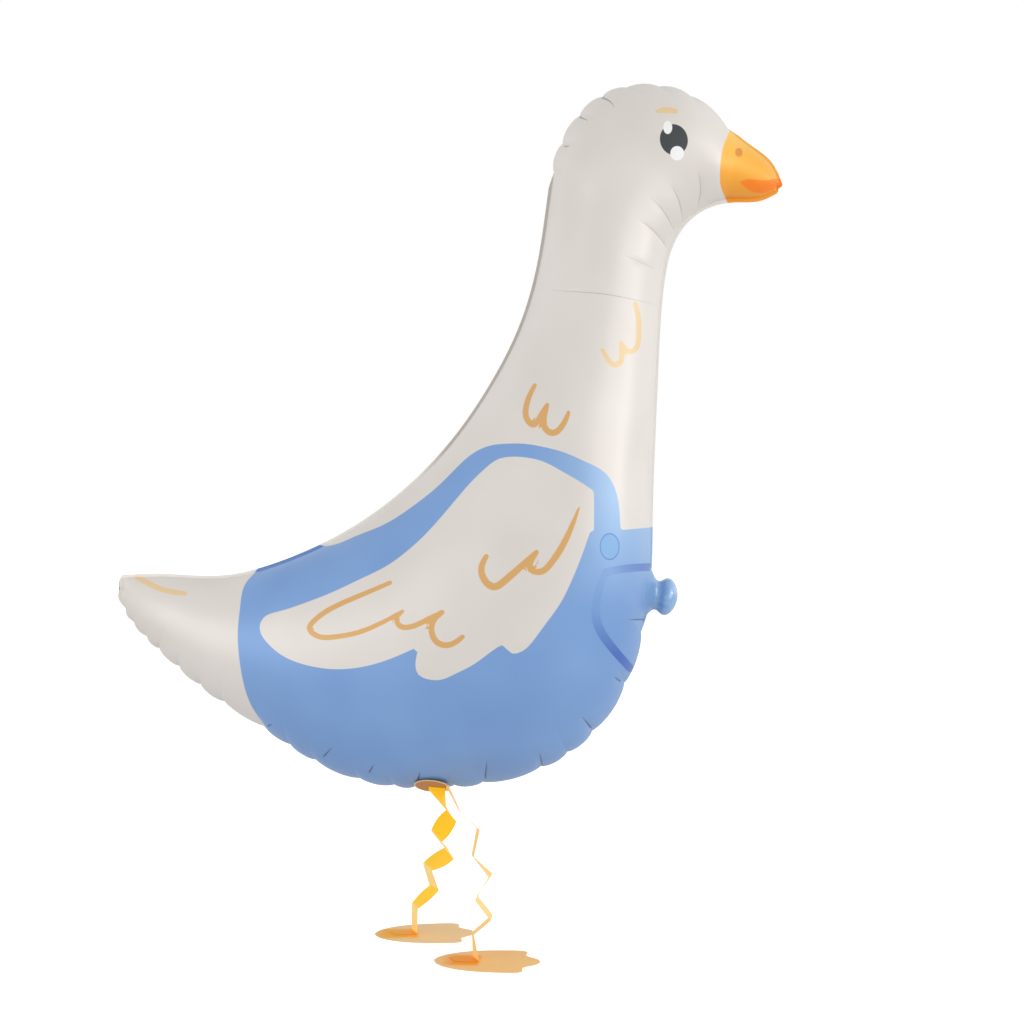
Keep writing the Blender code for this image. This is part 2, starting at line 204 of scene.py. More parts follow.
balloonForm = {
    "height": 0.856,
    "clearance": 0.194,
    "backLine": [
        (-0.466, 0.303), (-0.411, 0.305), (-0.320, 0.303), (-0.249, 0.320), (-0.156, 0.361),
        (-0.064, 0.426), (0.003, 0.496), (0.057, 0.575), (0.099, 0.659), (0.126, 0.757),
        (0.138, 0.838), (0.149, 0.895), (0.179, 0.953), (0.222, 0.988), (0.270, 0.999),
        (0.320, 0.993), (0.361, 0.972), (0.396, 0.939), (0.429, 0.912), (0.455, 0.891), (0.472, 0.858),
    ],
    "bellyLine": [
        (-0.470, 0.264), (-0.449, 0.233), (-0.405, 0.188), (-0.332, 0.128), (-0.267, 0.087),
        (-0.199, 0.043), (-0.131, 0.013), (-0.050, 0.001), (0.028, 0.004), (0.107, 0.020),
        (0.173, 0.053), (0.230, 0.112), (0.267, 0.193), (0.284, 0.281), (0.288, 0.395),
        (0.293, 0.530), (0.298, 0.642), (0.305, 0.722), (0.327, 0.790), (0.359, 0.820),
        (0.405, 0.832), (0.440, 0.834), (0.463, 0.844),
    ],
    # share along the back, share along the belly, depth of the section for its width
    "sections": [
        (0.000, 0.000, 0.60), (0.044, 0.026, 0.65), (0.095, 0.075, 0.70), (0.144, 0.165, 0.72),
        (0.214, 0.266, 0.70), (0.279, 0.352, 0.67), (0.348, 0.427, 0.645), (0.402, 0.501, 0.65),
        (0.454, 0.575, 0.69), (0.498, 0.653, 0.76), (0.544, 0.750, 0.88), (0.594, 0.827, 0.95),
        (0.634, 0.863, 0.92), (0.676, 0.898, 0.88), (0.711, 0.918, 0.83), (0.759, 0.935, 0.78),
        (0.814, 0.947, 0.80), (0.867, 0.954, 0.84), (0.915, 0.960, 0.85), (0.950, 0.978, 0.80),
        (1.000, 1.000, 0.70),
    ],
    "backNips": [0.677, 0.708, 0.742, 0.773, 0.798, 0.831, 0.864, 0.915],
    "bellyNips": [
        0.008, 0.020, 0.037, 0.052, 0.075, 0.099, 0.124, 0.164, 0.192, 0.217, 0.258,
        0.288, 0.306, 0.339, 0.363, 0.415, 0.441, 0.469, 0.519, 0.565,
    ],
    "seamThickness": 0.0006,
    "seamWidth": 0.0038,         # what shows of it where it lies flat
    "gatheredSeamWidth": 0.0014,    # what shows of it where it is drawn in
    "scallopDepth": 0.0038,
    "scallopFullness": 0.7,
    "scallopInward": 0.75,       # how much of the depth lies inside the line
    "scallopRunOut": 0.020,
    "scallopReach": 0.018,
    "tailRounding": 0.075,
    "beakRounding": 0.022,
    # how far each end stands out between its own nips and how soon that fades, and its fullness
    "tailPuff": 0.0030, "tailPuffReach": 0.012,
    "beakPuff": 0.0012, "beakPuffReach": 0.008,
    "endFullness": (0.6, 0.3),
    # between the beak's upper tip and lower lip: depth, share from back to belly, width as a share, reach
    "beakNotch": (0.0042, 0.52, 0.16, 0.005),
    "leastSlant": 0.5,
    "widestSeam": 0.2,           # share of the chord that the seam may take at the tips
}
foilGrid = {
    "step": 0.0029,              # between stations
    "fineStep": 0.0016,          # round the throat and the neck's fold
    "fineShares": (0.735, 0.905),
    "crowding": 0.5,             # stations close up towards each nip
    "nearColumns": 110,
    "farColumns": 66,
    "tailStations": 22,
    "beakStations": 12,
    "curvePoints": 3000,
}


def seamLine(shares, nips, outward):
    # One half of the seam: a spline through its points, with its length, shares and outward normals
    curve = smoothLine(shares, foilGrid["curvePoints"]) * balloonForm["height"]
    curve = curve + np.array([0.0, balloonForm["clearance"]])
    run = np.concatenate(([0.0], np.cumsum(np.linalg.norm(np.diff(curve, axis=0), axis=1))))
    tangent = np.gradient(curve, axis=0)
    tangent /= np.linalg.norm(tangent, axis=1)[:, None]
    normal = outward * np.stack([-tangent[:, 1], tangent[:, 0]], axis=1)
    return {"curve": curve, "normal": normal, "share": run / run[-1], "length": run[-1],
            "nips": np.array(nips)}


def onLine(line, what, share):
    # The seam's place or its outward normal at a share of its length
    return np.stack([np.interp(share, line["share"], line[what][:, k]) for k in (0, 1)], axis=-1)


def betweenNips(line, share):
    # 0 at every nip and 1 halfway between two; 0 outside the gathered stretch
    nips = line["nips"]
    k = np.clip(np.searchsorted(nips, share) - 1, 0, len(nips) - 2)
    part = np.clip((share - nips[k]) / (nips[k + 1] - nips[k]), 0, 1)
    return 4 * part * (1 - part)


def gathered(line, share):
    # 1 where the seam is gathered, fading to 0 past the outer nips
    past = np.maximum(line["nips"][0] - share, share - line["nips"][-1]) * line["length"]
    return np.clip(1 - past / balloonForm["scallopRunOut"], 0, 1)


def arches(line, share):
    # How far the scallops push the seam out, as a share of their depth; a nip lies inside the line
    swell = betweenNips(line, share) ** balloonForm["scallopFullness"]
    return swell - balloonForm["scallopInward"] * gathered(line, share)


backLine = seamLine(balloonForm["backLine"], balloonForm["backNips"], 1)
bellyLine = seamLine(balloonForm["bellyLine"], balloonForm["bellyNips"], -1)
sectionRows = np.array(balloonForm["sections"])
lineLengths = np.array([backLine["length"], bellyLine["length"]])
rowRuns = np.concatenate(([0.0], np.cumsum(np.diff(sectionRows[:, :2], axis=0) @ lineLengths / 2)))
sectionTable = smoothLine(np.column_stack([rowRuns, sectionRows]), foilGrid["curvePoints"])
wholeRun = (backLine["length"] + bellyLine["length"]) / 2


def runAt(column, share):
    # The run, halfway between the two seam lines, at a share of the back (1) or of the belly (2)
    return np.interp(share, sectionTable[:, column], sectionTable[:, 0])


def halfDepth(run, ratio, width):
    # Half the section's depth, rounded off like an ellipse at the tail and at the beak
    tail = np.clip((run - balloonForm["seamWidth"]) / balloonForm["tailRounding"], 0, 1)
    beak = np.clip((wholeRun - run - balloonForm["seamWidth"]) / balloonForm["beakRounding"], 0, 1)
    return width * ratio / 2 * np.sqrt(1 - (1 - tail) ** 2) * np.sqrt(1 - (1 - beak) ** 2)


def foilSheet(run, columns):
    # One sheet as a grid: a half ellipse stands on the line between the back seam and the belly seam,
    # a narrow flat seam runs along both ends of it, and the scallops pull its edges outwards.
    backShare, bellyShare, ratio = [np.interp(run, sectionTable[:, 0], sectionTable[:, k]) for k in (1, 2, 3)]
    back, belly = onLine(backLine, "curve", backShare), onLine(bellyLine, "curve", bellyShare)
    chord = belly - back
    width = np.linalg.norm(chord, axis=1)
    backOut, bellyOut = onLine(backLine, "normal", backShare), onLine(bellyLine, "normal", bellyShare)
    slant = np.clip(np.abs(np.sum(chord * backOut, axis=1) / width), balloonForm["leastSlant"], 1)
    seams = []
    for line, share in ((backLine, backShare), (bellyLine, bellyShare)):
        drawnIn = gathered(line, share)
        flat = balloonForm["seamWidth"] * (1 - drawnIn) + balloonForm["gatheredSeamWidth"] * drawnIn
        seams.append(np.minimum(flat / slant / width, balloonForm["widestSeam"])[:, None])
    angle = np.linspace(0, math.pi, columns + 1)[None, :]
    inner = seams[0] + (1 - seams[0] - seams[1]) * (1 - np.cos(angle)) / 2
    rise = np.sin(angle) * halfDepth(run, ratio, width)[:, None]
    ends = np.zeros((len(run), 1))
    v = np.hstack([ends, inner, ends + 1])
    depth = np.hstack([ends, rise + balloonForm["seamThickness"] / 2, ends])
    fromBack, fromBelly = v * width[:, None], (1 - v) * width[:, None]
    plan = back[:, None, :] + chord[:, None, :] * v[:, :, None]
    for line, share, out, away in ((backLine, backShare, backOut, fromBack),
                                   (bellyLine, bellyShare, bellyOut, fromBelly)):
        scallop = balloonForm["scallopDepth"] * arches(line, share)
        plan += (scallop[:, None] * np.exp(-away / balloonForm["scallopReach"]))[:, :, None] * out[:, None, :]
    halves, whole = balloonForm["endFullness"]
    endPuff = np.abs(np.sin(2 * math.pi * v)) ** halves * np.sin(math.pi * v) ** whole
    toTip = (wholeRun - run)[:, None]
    plan[:, :, 0] -= balloonForm["tailPuff"] * endPuff * np.exp(-run[:, None] / balloonForm["tailPuffReach"])
    plan[:, :, 0] += balloonForm["beakPuff"] * endPuff * np.exp(-toTip / balloonForm["beakPuffReach"])
    notchDepth, notchPlace, notchWidth, notchReach = balloonForm["beakNotch"]
    notch = np.exp(-((v - notchPlace) / notchWidth) ** 2) * np.exp(-toTip / notchReach)
    plan[:, :, 0] -= notchDepth * notch
    points = np.stack([plan[:, :, 0], -depth, plan[:, :, 1]], axis=-1)
    seamFrom = np.minimum(fromBack - seams[0] * width[:, None], fromBelly - seams[1] * width[:, None])
    return points, {"fromBack": fromBack, "fromBelly": fromBelly, "seamFrom": seamFrom,
                    "backShare": backShare, "bellyShare": bellyShare}


def stationRuns():
    # Stations stand on every nip and crowd towards it, and are finer round the throat
    tailTurn = np.linspace(0, math.pi / 2, foilGrid["tailStations"])
    beakTurn = np.linspace(0, math.pi / 2, foilGrid["beakStations"])
    tail = balloonForm["seamWidth"] + balloonForm["tailRounding"] * (1 - np.cos(tailTurn))
    beak = wholeRun - balloonForm["seamWidth"] - balloonForm["beakRounding"] * (1 - np.cos(beakTurn))
    fine = [runAt(2, share) for share in foilGrid["fineShares"]]
    nips = [runAt(1, backLine["nips"]), runAt(2, bellyLine["nips"]), fine]
    marks = sorted([tail[-1], *[n for n in np.concatenate(nips) if tail[-1] < n < beak[-1]], beak[-1]])
    runs = [[0.0], tail[:-1]]
    for start, stop in zip(marks, marks[1:]):
        step = foilGrid["fineStep"] if fine[0] <= start < fine[1] else foilGrid["step"]
        part = np.linspace(0, 1, max(3, round((stop - start) / step)), endpoint=False)
        crowded = part - foilGrid["crowding"] * np.sin(2 * math.pi * part) / (2 * math.pi)
        runs.append(start + (stop - start) * crowded)
    return np.concatenate([*runs, beak[::-1], [wholeRun]])


def asSeen(points):
    # Where a point falls in the seam plane when it is seen square on from the view's distance, in mm
    grow = view["distance"] / (view["distance"] - np.abs(points[..., 1]))
    x = view["centreX"] + (points[..., 0] - view["centreX"]) * grow
    z = view["centreZ"] + (points[..., 2] - view["centreZ"]) * grow
    return np.stack([x, z], axis=-1).reshape(-1, 2) / mm


def nearestOnPath(places, path, widths=None):
    # Offset from the nearest point of a path, divided by the path's half width there, and how far along
    path = np.array(path, float)
    distinct = np.append(True, np.any(np.diff(path, axis=0) != 0, axis=1))
    widths = np.ones(len(path)) if widths is None else np.asarray(widths, float)
    path, widths = path[distinct], widths[distinct]
    steps = np.linalg.norm(np.diff(path, axis=0), axis=1)
    before = np.concatenate(([0.0], np.cumsum(steps))) / steps.sum()
    best = np.full(len(places), 1e9)
    offset = np.full((len(places), 2), 1e3)
    along = np.zeros(len(places))
    for i in range(len(path) - 1):
        line = path[i + 1] - path[i]
        part = np.clip((places - path[i]) @ line / (line @ line), 0, 1)
        away = places - path[i] - part[:, None] * line
        away /= (widths[i] + part * (widths[i + 1] - widths[i]))[:, None]
        size = away[:, 0] ** 2 + away[:, 1] ** 2
        nearer = size < best
        best[nearer] = size[nearer]
        offset[nearer] = away[nearer]
        along[nearer] = before[i] + part[nearer] * (before[i + 1] - before[i])
    return offset, along


def insideOutline(places, outline):
    # Signed distance in mm to a closed outline, under 0 inside it
    ring = np.array(outline, float)
    offset, _ = nearestOnPath(places, np.vstack([ring, ring[:1]]))
    inside = np.zeros(len(places), bool)
    for (x1, z1), (x2, z2) in zip(ring, np.roll(ring, -1, axis=0)):
        if z1 != z2:
            crosses = ((z1 > places[:, 1]) != (z2 > places[:, 1]))
            inside ^= crosses & (places[:, 0] < (x2 - x1) * (places[:, 1] - z1) / (z2 - z1) + x1)
    return np.linalg.norm(offset, axis=1) * np.where(inside, -1, 1)


# The print, in mm forward and up in the seam plane

printForm = {
    "rearEdge": [(-228, 472), (-236, 458), (-248, 444), (-255, 416), (-258, 383), (-256, 351),
                 (-250, 318), (-240, 292), (-224, 269), (-201, 228)],
    "strapTop": [(-170, 502), (-158, 490), (-142, 490), (-114, 501), (-84, 513), (-44, 538), (-13, 563),
                 (12, 588), (29, 602), (50, 611), (68, 613), (89, 613), (114, 609), (140, 602), (165, 591),
                 (188, 578), (196, 568), (202, 554), (207, 512)],
    "bibTop": [(208, 508), (241, 511), (304, 518)],
    "below": [(330, 518), (330, 150), (-190, 150)],
    # the wing's smooth stretches, which meet at corners
    "wing": [
        [(-231, 394), (-227, 401), (-209, 409), (-175, 420), (-142, 433), (-106, 450), (-78, 464), (-53, 482),
         (-34, 499), (-10, 525), (12, 551), (27, 568), (45, 585), (58, 594), (72, 597), (94, 596), (114, 591),
         (135, 580), (156, 568), (174, 556)],
        [(175, 555), (175, 508)],
        [(170, 505), (162, 482), (148, 447), (134, 419), (117, 395), (103, 376), (88, 361), (77, 357)],
        [(77, 357), (69, 363), (63, 369)],
        [(63, 369), (51, 361), (29, 345), (6, 333), (-12, 326), (-28, 327), (-39, 333), (-42, 345),
         (-39, 362)],
        [(-44, 364), (-74, 351), (-111, 341), (-142, 339), (-175, 344), (-203, 355), (-223, 372), (-231, 386),
         (-231, 394)],
    ],
    # feather strokes: points, half width at the start, in the middle and at the end
    "strokes": [
        ([(-73, 444), (-106, 430), (-142, 414), (-164, 399), (-171, 388), (-163, 380), (-142, 378),
          (-114, 383), (-84, 395), (-58, 409)], (2.6, 3.2, 2.4)),
        ([(-58, 409), (-65, 400), (-62, 392), (-50, 390), (-32, 397), (-10, 408)], (2.4, 3.2, 3.2)),
        ([(-10, 408), (-21, 396), (-22, 382), (-15, 371), (-4, 368), (15, 378)], (3.2, 3.6, 3.0)),
        ([(158, 539), (148, 513), (135, 486), (122, 467), (109, 457), (98, 460), (105, 481)],
         (0.5, 4.0, 3.0)),
        ([(105, 481), (82, 460), (66, 446), (53, 439), (42, 447), (38, 462), (44, 476)], (3.0, 4.4, 3.0)),
        ([(103, 684), (96, 670), (92, 655), (94, 642), (101, 636), (109, 645), (118, 660)], (2.4, 3.6, 2.6)),
        ([(118, 660), (114, 643), (116, 631), (125, 626), (135, 633), (144, 651)], (2.6, 3.8, 2.2)),
    ],
    "paleStrokes": [
        ([(225, 783), (229, 765), (229, 741), (226, 729), (219, 725), (213, 728), (208, 735)],
         (2.6, 3.2, 2.6)),
        ([(208, 735), (209, 722), (206, 711), (199, 709), (191, 717), (185, 727)], (2.6, 3.2, 2.2)),
        ([(-380, 451), (-364, 442), (-346, 435), (-322, 431)], (3.4, 3.4, 2.6)),
        ([(250, 1016.8), (261.5, 1018.6), (274, 1017.2)], (0.8, 3.8, 3.2)),
    ],
    "pocketTop": [(190, 457), (217, 461.6), (243, 463)],
    "pocketSide": [(190, 457), (185, 448), (180, 430), (177, 409), (180, 392), (194, 369), (219, 340)],
    "pocketTopWidths": (4.7, 4.7, 4.7),          # half widths at the start, in the middle and at the end
    "pocketSideWidths": (3.29, 5.4, 4.7),
    # where a painted highlight pales the pocket line most, where its fade starts and ends, and its least
    # strength
    "pocketHighlight": ((180, 434), 15, 80, 0.12),
    "button": ((194, 488), (12.0, 16.4)),
    "eye": ((272, 982.5), (16.9, 19.0), 14),     # centre, half width and height, lean in degrees
    "upperGlint": ((264.6, 997.4), (5.4, 8.0)),
    "lowerGlint": ((276, 966), (8.3, 8.7)),
    "beakEdge": [(346, 1018), (341, 997), (333, 977), (329, 958), (328, 942), (329, 926), (334, 913),
                 (343, 894)],
    "ahead": [(450, 860), (450, 1060)],
    "mouth": [(352, 931), (359, 934), (380, 933), (400, 935), (412, 931), (406, 925), (397, 923.5),
              (388, 920), (376, 917.5), (364, 921)],
    "nostril": ((351, 967), (5.0, 6.0)),
    "brushFullness": 0.7,
    # how far from a mark its offset is lifted, in half widths, how steeply and over what distance
    "lift": (1.8, 3.0, 20.0),
}

# Folds in the foil as they are seen: path in mm, depth of the fold in mm, and whether it starts at the seam
foldForm = {
    # groove's depth, hollow's depth, half width of the painted shade line, its darkness and how far the line
    # is read
    "kinds": {"throat": (0.7, 0.9, 0.80, 0.42, 5), "neck": (0.5, 0.0, 0.75, 0.42, 2),
              "seam": (1.0, 1.0, 1.15, 0.80, 5)},
    "throat": [
        [(302, 944), (305, 919), (300, 897)],
        [(269, 928), (279, 908), (283, 884)],
        [(244, 913), (260, 896), (274, 869)],
        [(231, 884), (251, 869), (266, 847)],
        [(213, 842), (232, 834), (249, 825)],
    ],
    "neck": [
        [(122, 800), (150, 798), (178, 796), (208, 791.5), (249, 782)],
    ],
    "seam": [
        [(-222, 269), (-215, 272)], [(-154, 232), (-143, 244)], [(-98, 213), (-92, 224)],
        [(-39, 204), (-36, 215)], [(43, 206), (45, 228)], [(112, 222), (109, 238)],
        [(172, 267), (160, 282)], [(208, 324), (199, 330)], [(235, 399), (216, 399)],
        [(184, 1035), (194, 1030), (200, 1021)], [(157, 1011), (168, 1006)], [(138, 975), (146, 976)],
    ],
    "shadedSeam": (0.33, 0.37, 0.670, 0.675),   # shares of the back where painted shade darkens the flat seam
    "grooveWidth": 1.5,
    "hollowWidth": 6.0,
    "fullness": 0.8,
    "endShare": 0.03,            # a fold inside the foil starts and ends as deep as it is this far along
    "endWidth": 0.4,             # share of its width that a fold's painted shade line keeps at its ends
    "puffDepth": 1.3,
    "puffReach": 7.0,
    "puffShape": (0.5, 0.8),     # fullness between nips, and how far a nip sinks as a share of the depth
    "seamHold": 2.5,             # nothing moves at the seam, and all of it this far from it
    "depthHold": 6.0,            # nor where the foil is thinner than this
}


def softened(points, pieces=8):
    # A smooth line through the points, with so many pieces between each two
    return smoothLine(points, pieces * (len(points) - 1) + 1)


def strokeWidths(sizes, count):
    # Half widths along a stroke: start, middle and end, eased like a brush
    along = np.linspace(0, 1, count)
    start, middle, end = sizes
    eased = np.clip(np.sin(math.pi * along), 0, 1) ** printForm["brushFullness"]
    return np.where(along < 0.5, start + (middle - start) * eased, end + (middle - end) * eased)


def nearestStroke(places, strokes):
    # Offset from the nearest of several brush strokes, in that stroke's half widths
    best = np.full((len(places), 2), 1e3)
    for points, sizes in strokes:
        path = softened(points, pieces=6)
        offset, _ = nearestOnPath(places, path, strokeWidths(sizes, len(path)))
        nearer = np.sum(offset ** 2, axis=1) < np.sum(best ** 2, axis=1)
        best[nearer] = offset[nearer]
    return best


def ovalOffset(places, centre, radii, lean=0.0):
    # Offset from an oval's centre in its own radii, so that its edge is at length 1
    turn = math.radians(lean)
    away = places - np.array(centre)
    across = away[:, 0] * math.cos(turn) + away[:, 1] * math.sin(turn)
    up = away[:, 1] * math.cos(turn) - away[:, 0] * math.sin(turn)
    return np.stack([across / radii[0], up / radii[1]], axis=1)


def raised(offsets):
    # A third number that grows away from the stroke, so that halfway between two strokes isn't read as inside
    start, slope, reach = printForm["lift"]
    return np.column_stack([offsets, slope * np.clip(np.linalg.norm(offsets, axis=1) - start, 0, reach)])


def printFields(places):
    # Every printed area as a number or vector for each point of the foil
    form = printForm
    bib = np.vstack([softened(form["rearEdge"]), form["below"][::-1], form["bibTop"][::-1],
                     softened(form["strapTop"])[::-1], [(-205, 505)]])
    wing = np.vstack([softened(part) if len(part) > 2 else np.array(part) for part in form["wing"]])
    beak = np.vstack([softened(form["beakEdge"]), form["ahead"]])
    mouth = softened(form["mouth"] + form["mouth"][:1], pieces=5)[:-1]
    pocket = [(form["pocketTop"], form["pocketTopWidths"]), (form["pocketSide"], form["pocketSideWidths"])]
    palest, fadeStart, fadeEnd, least = form["pocketHighlight"]
    fromPalest = np.linalg.norm(places - np.array(palest), axis=1)
    fields = {
        "blueDistance": np.maximum(insideOutline(places, bib), -insideOutline(places, wing)),
        "pocketStrength": np.clip((fromPalest - fadeStart) / (fadeEnd - fadeStart), least, 1),
        "beakDistance": insideOutline(places, beak),
        "mouthDistance": insideOutline(places, mouth),
    }
    drawn = {"stroke": form["strokes"], "paleStroke": form["paleStrokes"], "pocket": pocket}
    for name, strokes in drawn.items():
        fields[name + "Offset"] = raised(nearestStroke(places, strokes))
    for name in ("button", "eye", "upperGlint", "lowerGlint", "nostril"):
        fields[name + "Offset"] = raised(ovalOffset(places, *form[name]))
    return fields


def foldFields(places):
    # How deep the foil lies in its folds, in mm, and the offset from the nearest fold with the strength of
    # its painted shade line
    form = foldForm
    sink = np.zeros(len(places))
    best = np.full(len(places), 1e9)
    nearest = np.zeros((len(places), 3))           # across and along in half widths, and how dark its painted shade is
    for kind, (depth, hollow, line, darkness, reach) in form["kinds"].items():
        for points in form[kind]:
            path = softened(points, pieces=6) if len(points) > 2 else np.array(points, float)
            offset, along = nearestOnPath(places, path)
            inside = np.clip(along, form["endShare"], 1 - form["endShare"])
            ease = 1 - along ** 2 if kind == "seam" else np.sin(math.pi * inside) ** form["fullness"]
            away = np.linalg.norm(offset, axis=1)
            sink += ease * depth * np.exp(-(away / form["grooveWidth"]) ** 2)
            sink += ease * hollow * np.exp(-(away / form["hollowWidth"]) ** 2)
            nearer = away < best
            best[nearer] = away[nearer]
            halfWidth = line * (form["endWidth"] + (1 - form["endWidth"]) * ease[nearer])
            nearest[nearer, :2] = offset[nearer] / halfWidth[:, None]
            nearest[nearer, 2] = (np.sqrt(ease) * darkness * (away < reach))[nearer]
    return sink, nearest


def puffs(edges):
    # The foil swells between two nips and sinks at each, most of all beside the seam
    form = foldForm
    rise = 0
    for line, share, away in ((backLine, edges["backShare"], edges["fromBack"]),
                              (bellyLine, edges["bellyShare"], edges["fromBelly"])):
        swell = betweenNips(line, share) ** form["puffShape"][0] - form["puffShape"][1]
        rise = rise + (gathered(line, share) * swell)[:, None] * np.exp(-away / mm / form["puffReach"])
    return rise * form["puffDepth"]


def outwardNormals(points):
    # Cross product of the grid's two directions, turned so that it points away from the seam plane
    alongRun = np.gradient(points, axis=0)
    acrossRun = np.gradient(points, axis=1)
    normals = np.cross(acrossRun, alongRun)
    normals /= np.linalg.norm(normals, axis=2)[:, :, None] + 1e-12
    flip = np.where(np.sum(normals[:, 2:-2, 1]) > 0, -1, 1)
    return normals * flip


def dressedSheet(runs, columns):
    # A sheet with its folds and puffs pressed in; the seam itself stays where it is
    form = foldForm
    points, edges = foilSheet(runs, columns)
    sink, nearest = foldFields(asSeen(points))
    height = puffs(edges) - sink.reshape(points.shape[:2])
    hold = (np.clip(edges["seamFrom"] / mm / form["seamHold"], 0, 1)
            * np.clip(-points[:, :, 1] / mm / form["depthHold"], 0, 1))
    points = points + outwardNormals(points) * (height * hold * mm)[:, :, None]
    onBack = (edges["fromBack"] < edges["fromBelly"]).astype(float)
    # painted shade darkens the flat seam along this stretch of the back
    dark = np.interp(edges["backShare"], form["shadedSeam"], (0, 1, 1, 0))[:, None] * onBack
    return {"points": points, "foldOffset": nearest.reshape(*onBack.shape, 3),
            "seamDistance": edges["seamFrom"] / mm, "shadedSeam": dark, "backSide": onBack}


def buildFoil(material):
    # Both sheets as one closed skin: each ring runs over the near sheet and back over the far one
    runs = stationRuns()
    near = dressedSheet(runs, foilGrid["nearColumns"])
    far = dressedSheet(runs, foilGrid["farColumns"])
    far["points"] = far["points"] * np.array([1, -1, 1])
    skin = {name: np.concatenate([near[name], far[name][:, -2:0:-1]], axis=1) for name in near}
    points = skin.pop("points")
    rows, columns = points.shape[:2]
    faces = solidFaces(rows, columns)
    piece = makePiece("foilEnvelope", points, faces, material)
    for name, values in printFields(asSeen(points)).items():
        addField(piece, name, values)
    for name, values in skin.items():
        addField(piece, name, values.reshape(rows * columns, -1).squeeze())
    print("foil envelope:", rows, "stations,", columns, "columns,", 2 * len(faces), "triangles")
    return piece


# Printed foil: nylon and polyethylene film, vacuum coated, printed and heat sealed

foilLook = {
    "pearl": "#E7E1DB", "pearlShade": "#DCD4CC",
    "blue": "#86ADDF", "blueDeep": "#7299D1", "blueHighlight": "#B4D1EA",
    "stroke": "#DDAB68", "paleStroke": "#E9CD9E", "pocket": "#466EC0", "button": "#83B0DE",
    "buttonRim": "#5C88C8", "eye": "#3C4042", "glint": "#F6F6F4", "beakLit": "#FAC244",
    "beakShaded": "#F8A22A", "mouth": "#FF8400", "nostril": "#DC8C30", "seamShade": "#B0A99F",
    "roughness": 0.40, "metallic": 0.12, "coat": 0.12, "coatRoughness": 0.30,
    "printEdge": 0.35,           # half the softness of a printed edge, in mm
    # printed marks: colour, which mark, its size in mm and the share of it where its edge lies
    "bodyMarks": [("buttonRim", "button", 13.0, 1.0), ("button", "button", 13.0, 0.91),
                  ("stroke", "stroke", 3.4, 1.0), ("paleStroke", "paleStroke", 3.0, 1.0)],
    "headMarks": [("nostril", "nostril", 2.0, 0.9), ("eye", "eye", 17.0, 1.0),
                  ("glint", "upperGlint", 6.0, 1.0), ("glint", "lowerGlint", 6.0, 1.0)],
    "pocketLine": ("pocket", 5.0, 1.0),
    # painted shade in the folds, on pearl and on blue
    "foldShadeOnPearl": "#86847E", "foldShadeOnBlue": "#2E4470",
    # the seam edge's painted highlight on blue and on pearl, and its painted shade on the blue back
    "blueSeamLighting": "#B4D0EE", "blueSeamShade": "#5F84BE", "pearlSeamHighlight": "#F6F2EC",
    "seamEdge": (-0.2, 0.5), "seamSheen": 0.6,     # its edge and softness in mm, and how strong its painted highlight and shade are
    "foldEdge": (0.8, 0.5),                        # the same for a fold's painted shade line, in its half widths
    "cloudSize": 90.0,           # spots of the faint unevenness in the film, in mm
    # where a painted highlight pales the blue on the bib, ahead and above, and how strong it is
    "bibAhead": (0.10, 0.19), "bibAbove": (0.42, 0.55), "bibHighlightStrength": 0.62,
    "beakFade": (0.915, 0.985),  # heights between which painted shade on the beak's lower part gives way to its lit top colour
    # the wrinkles' size and depth in mm, their strength, how far from the seam they fade, and what stays
    "wrinkleSize": 14.0, "wrinkleDepth": 2.0, "wrinkleBump": 0.10, "wrinkleRun": 45.0, "wrinkleFar": 0.12,
    "foldRelief": 0.8,
}


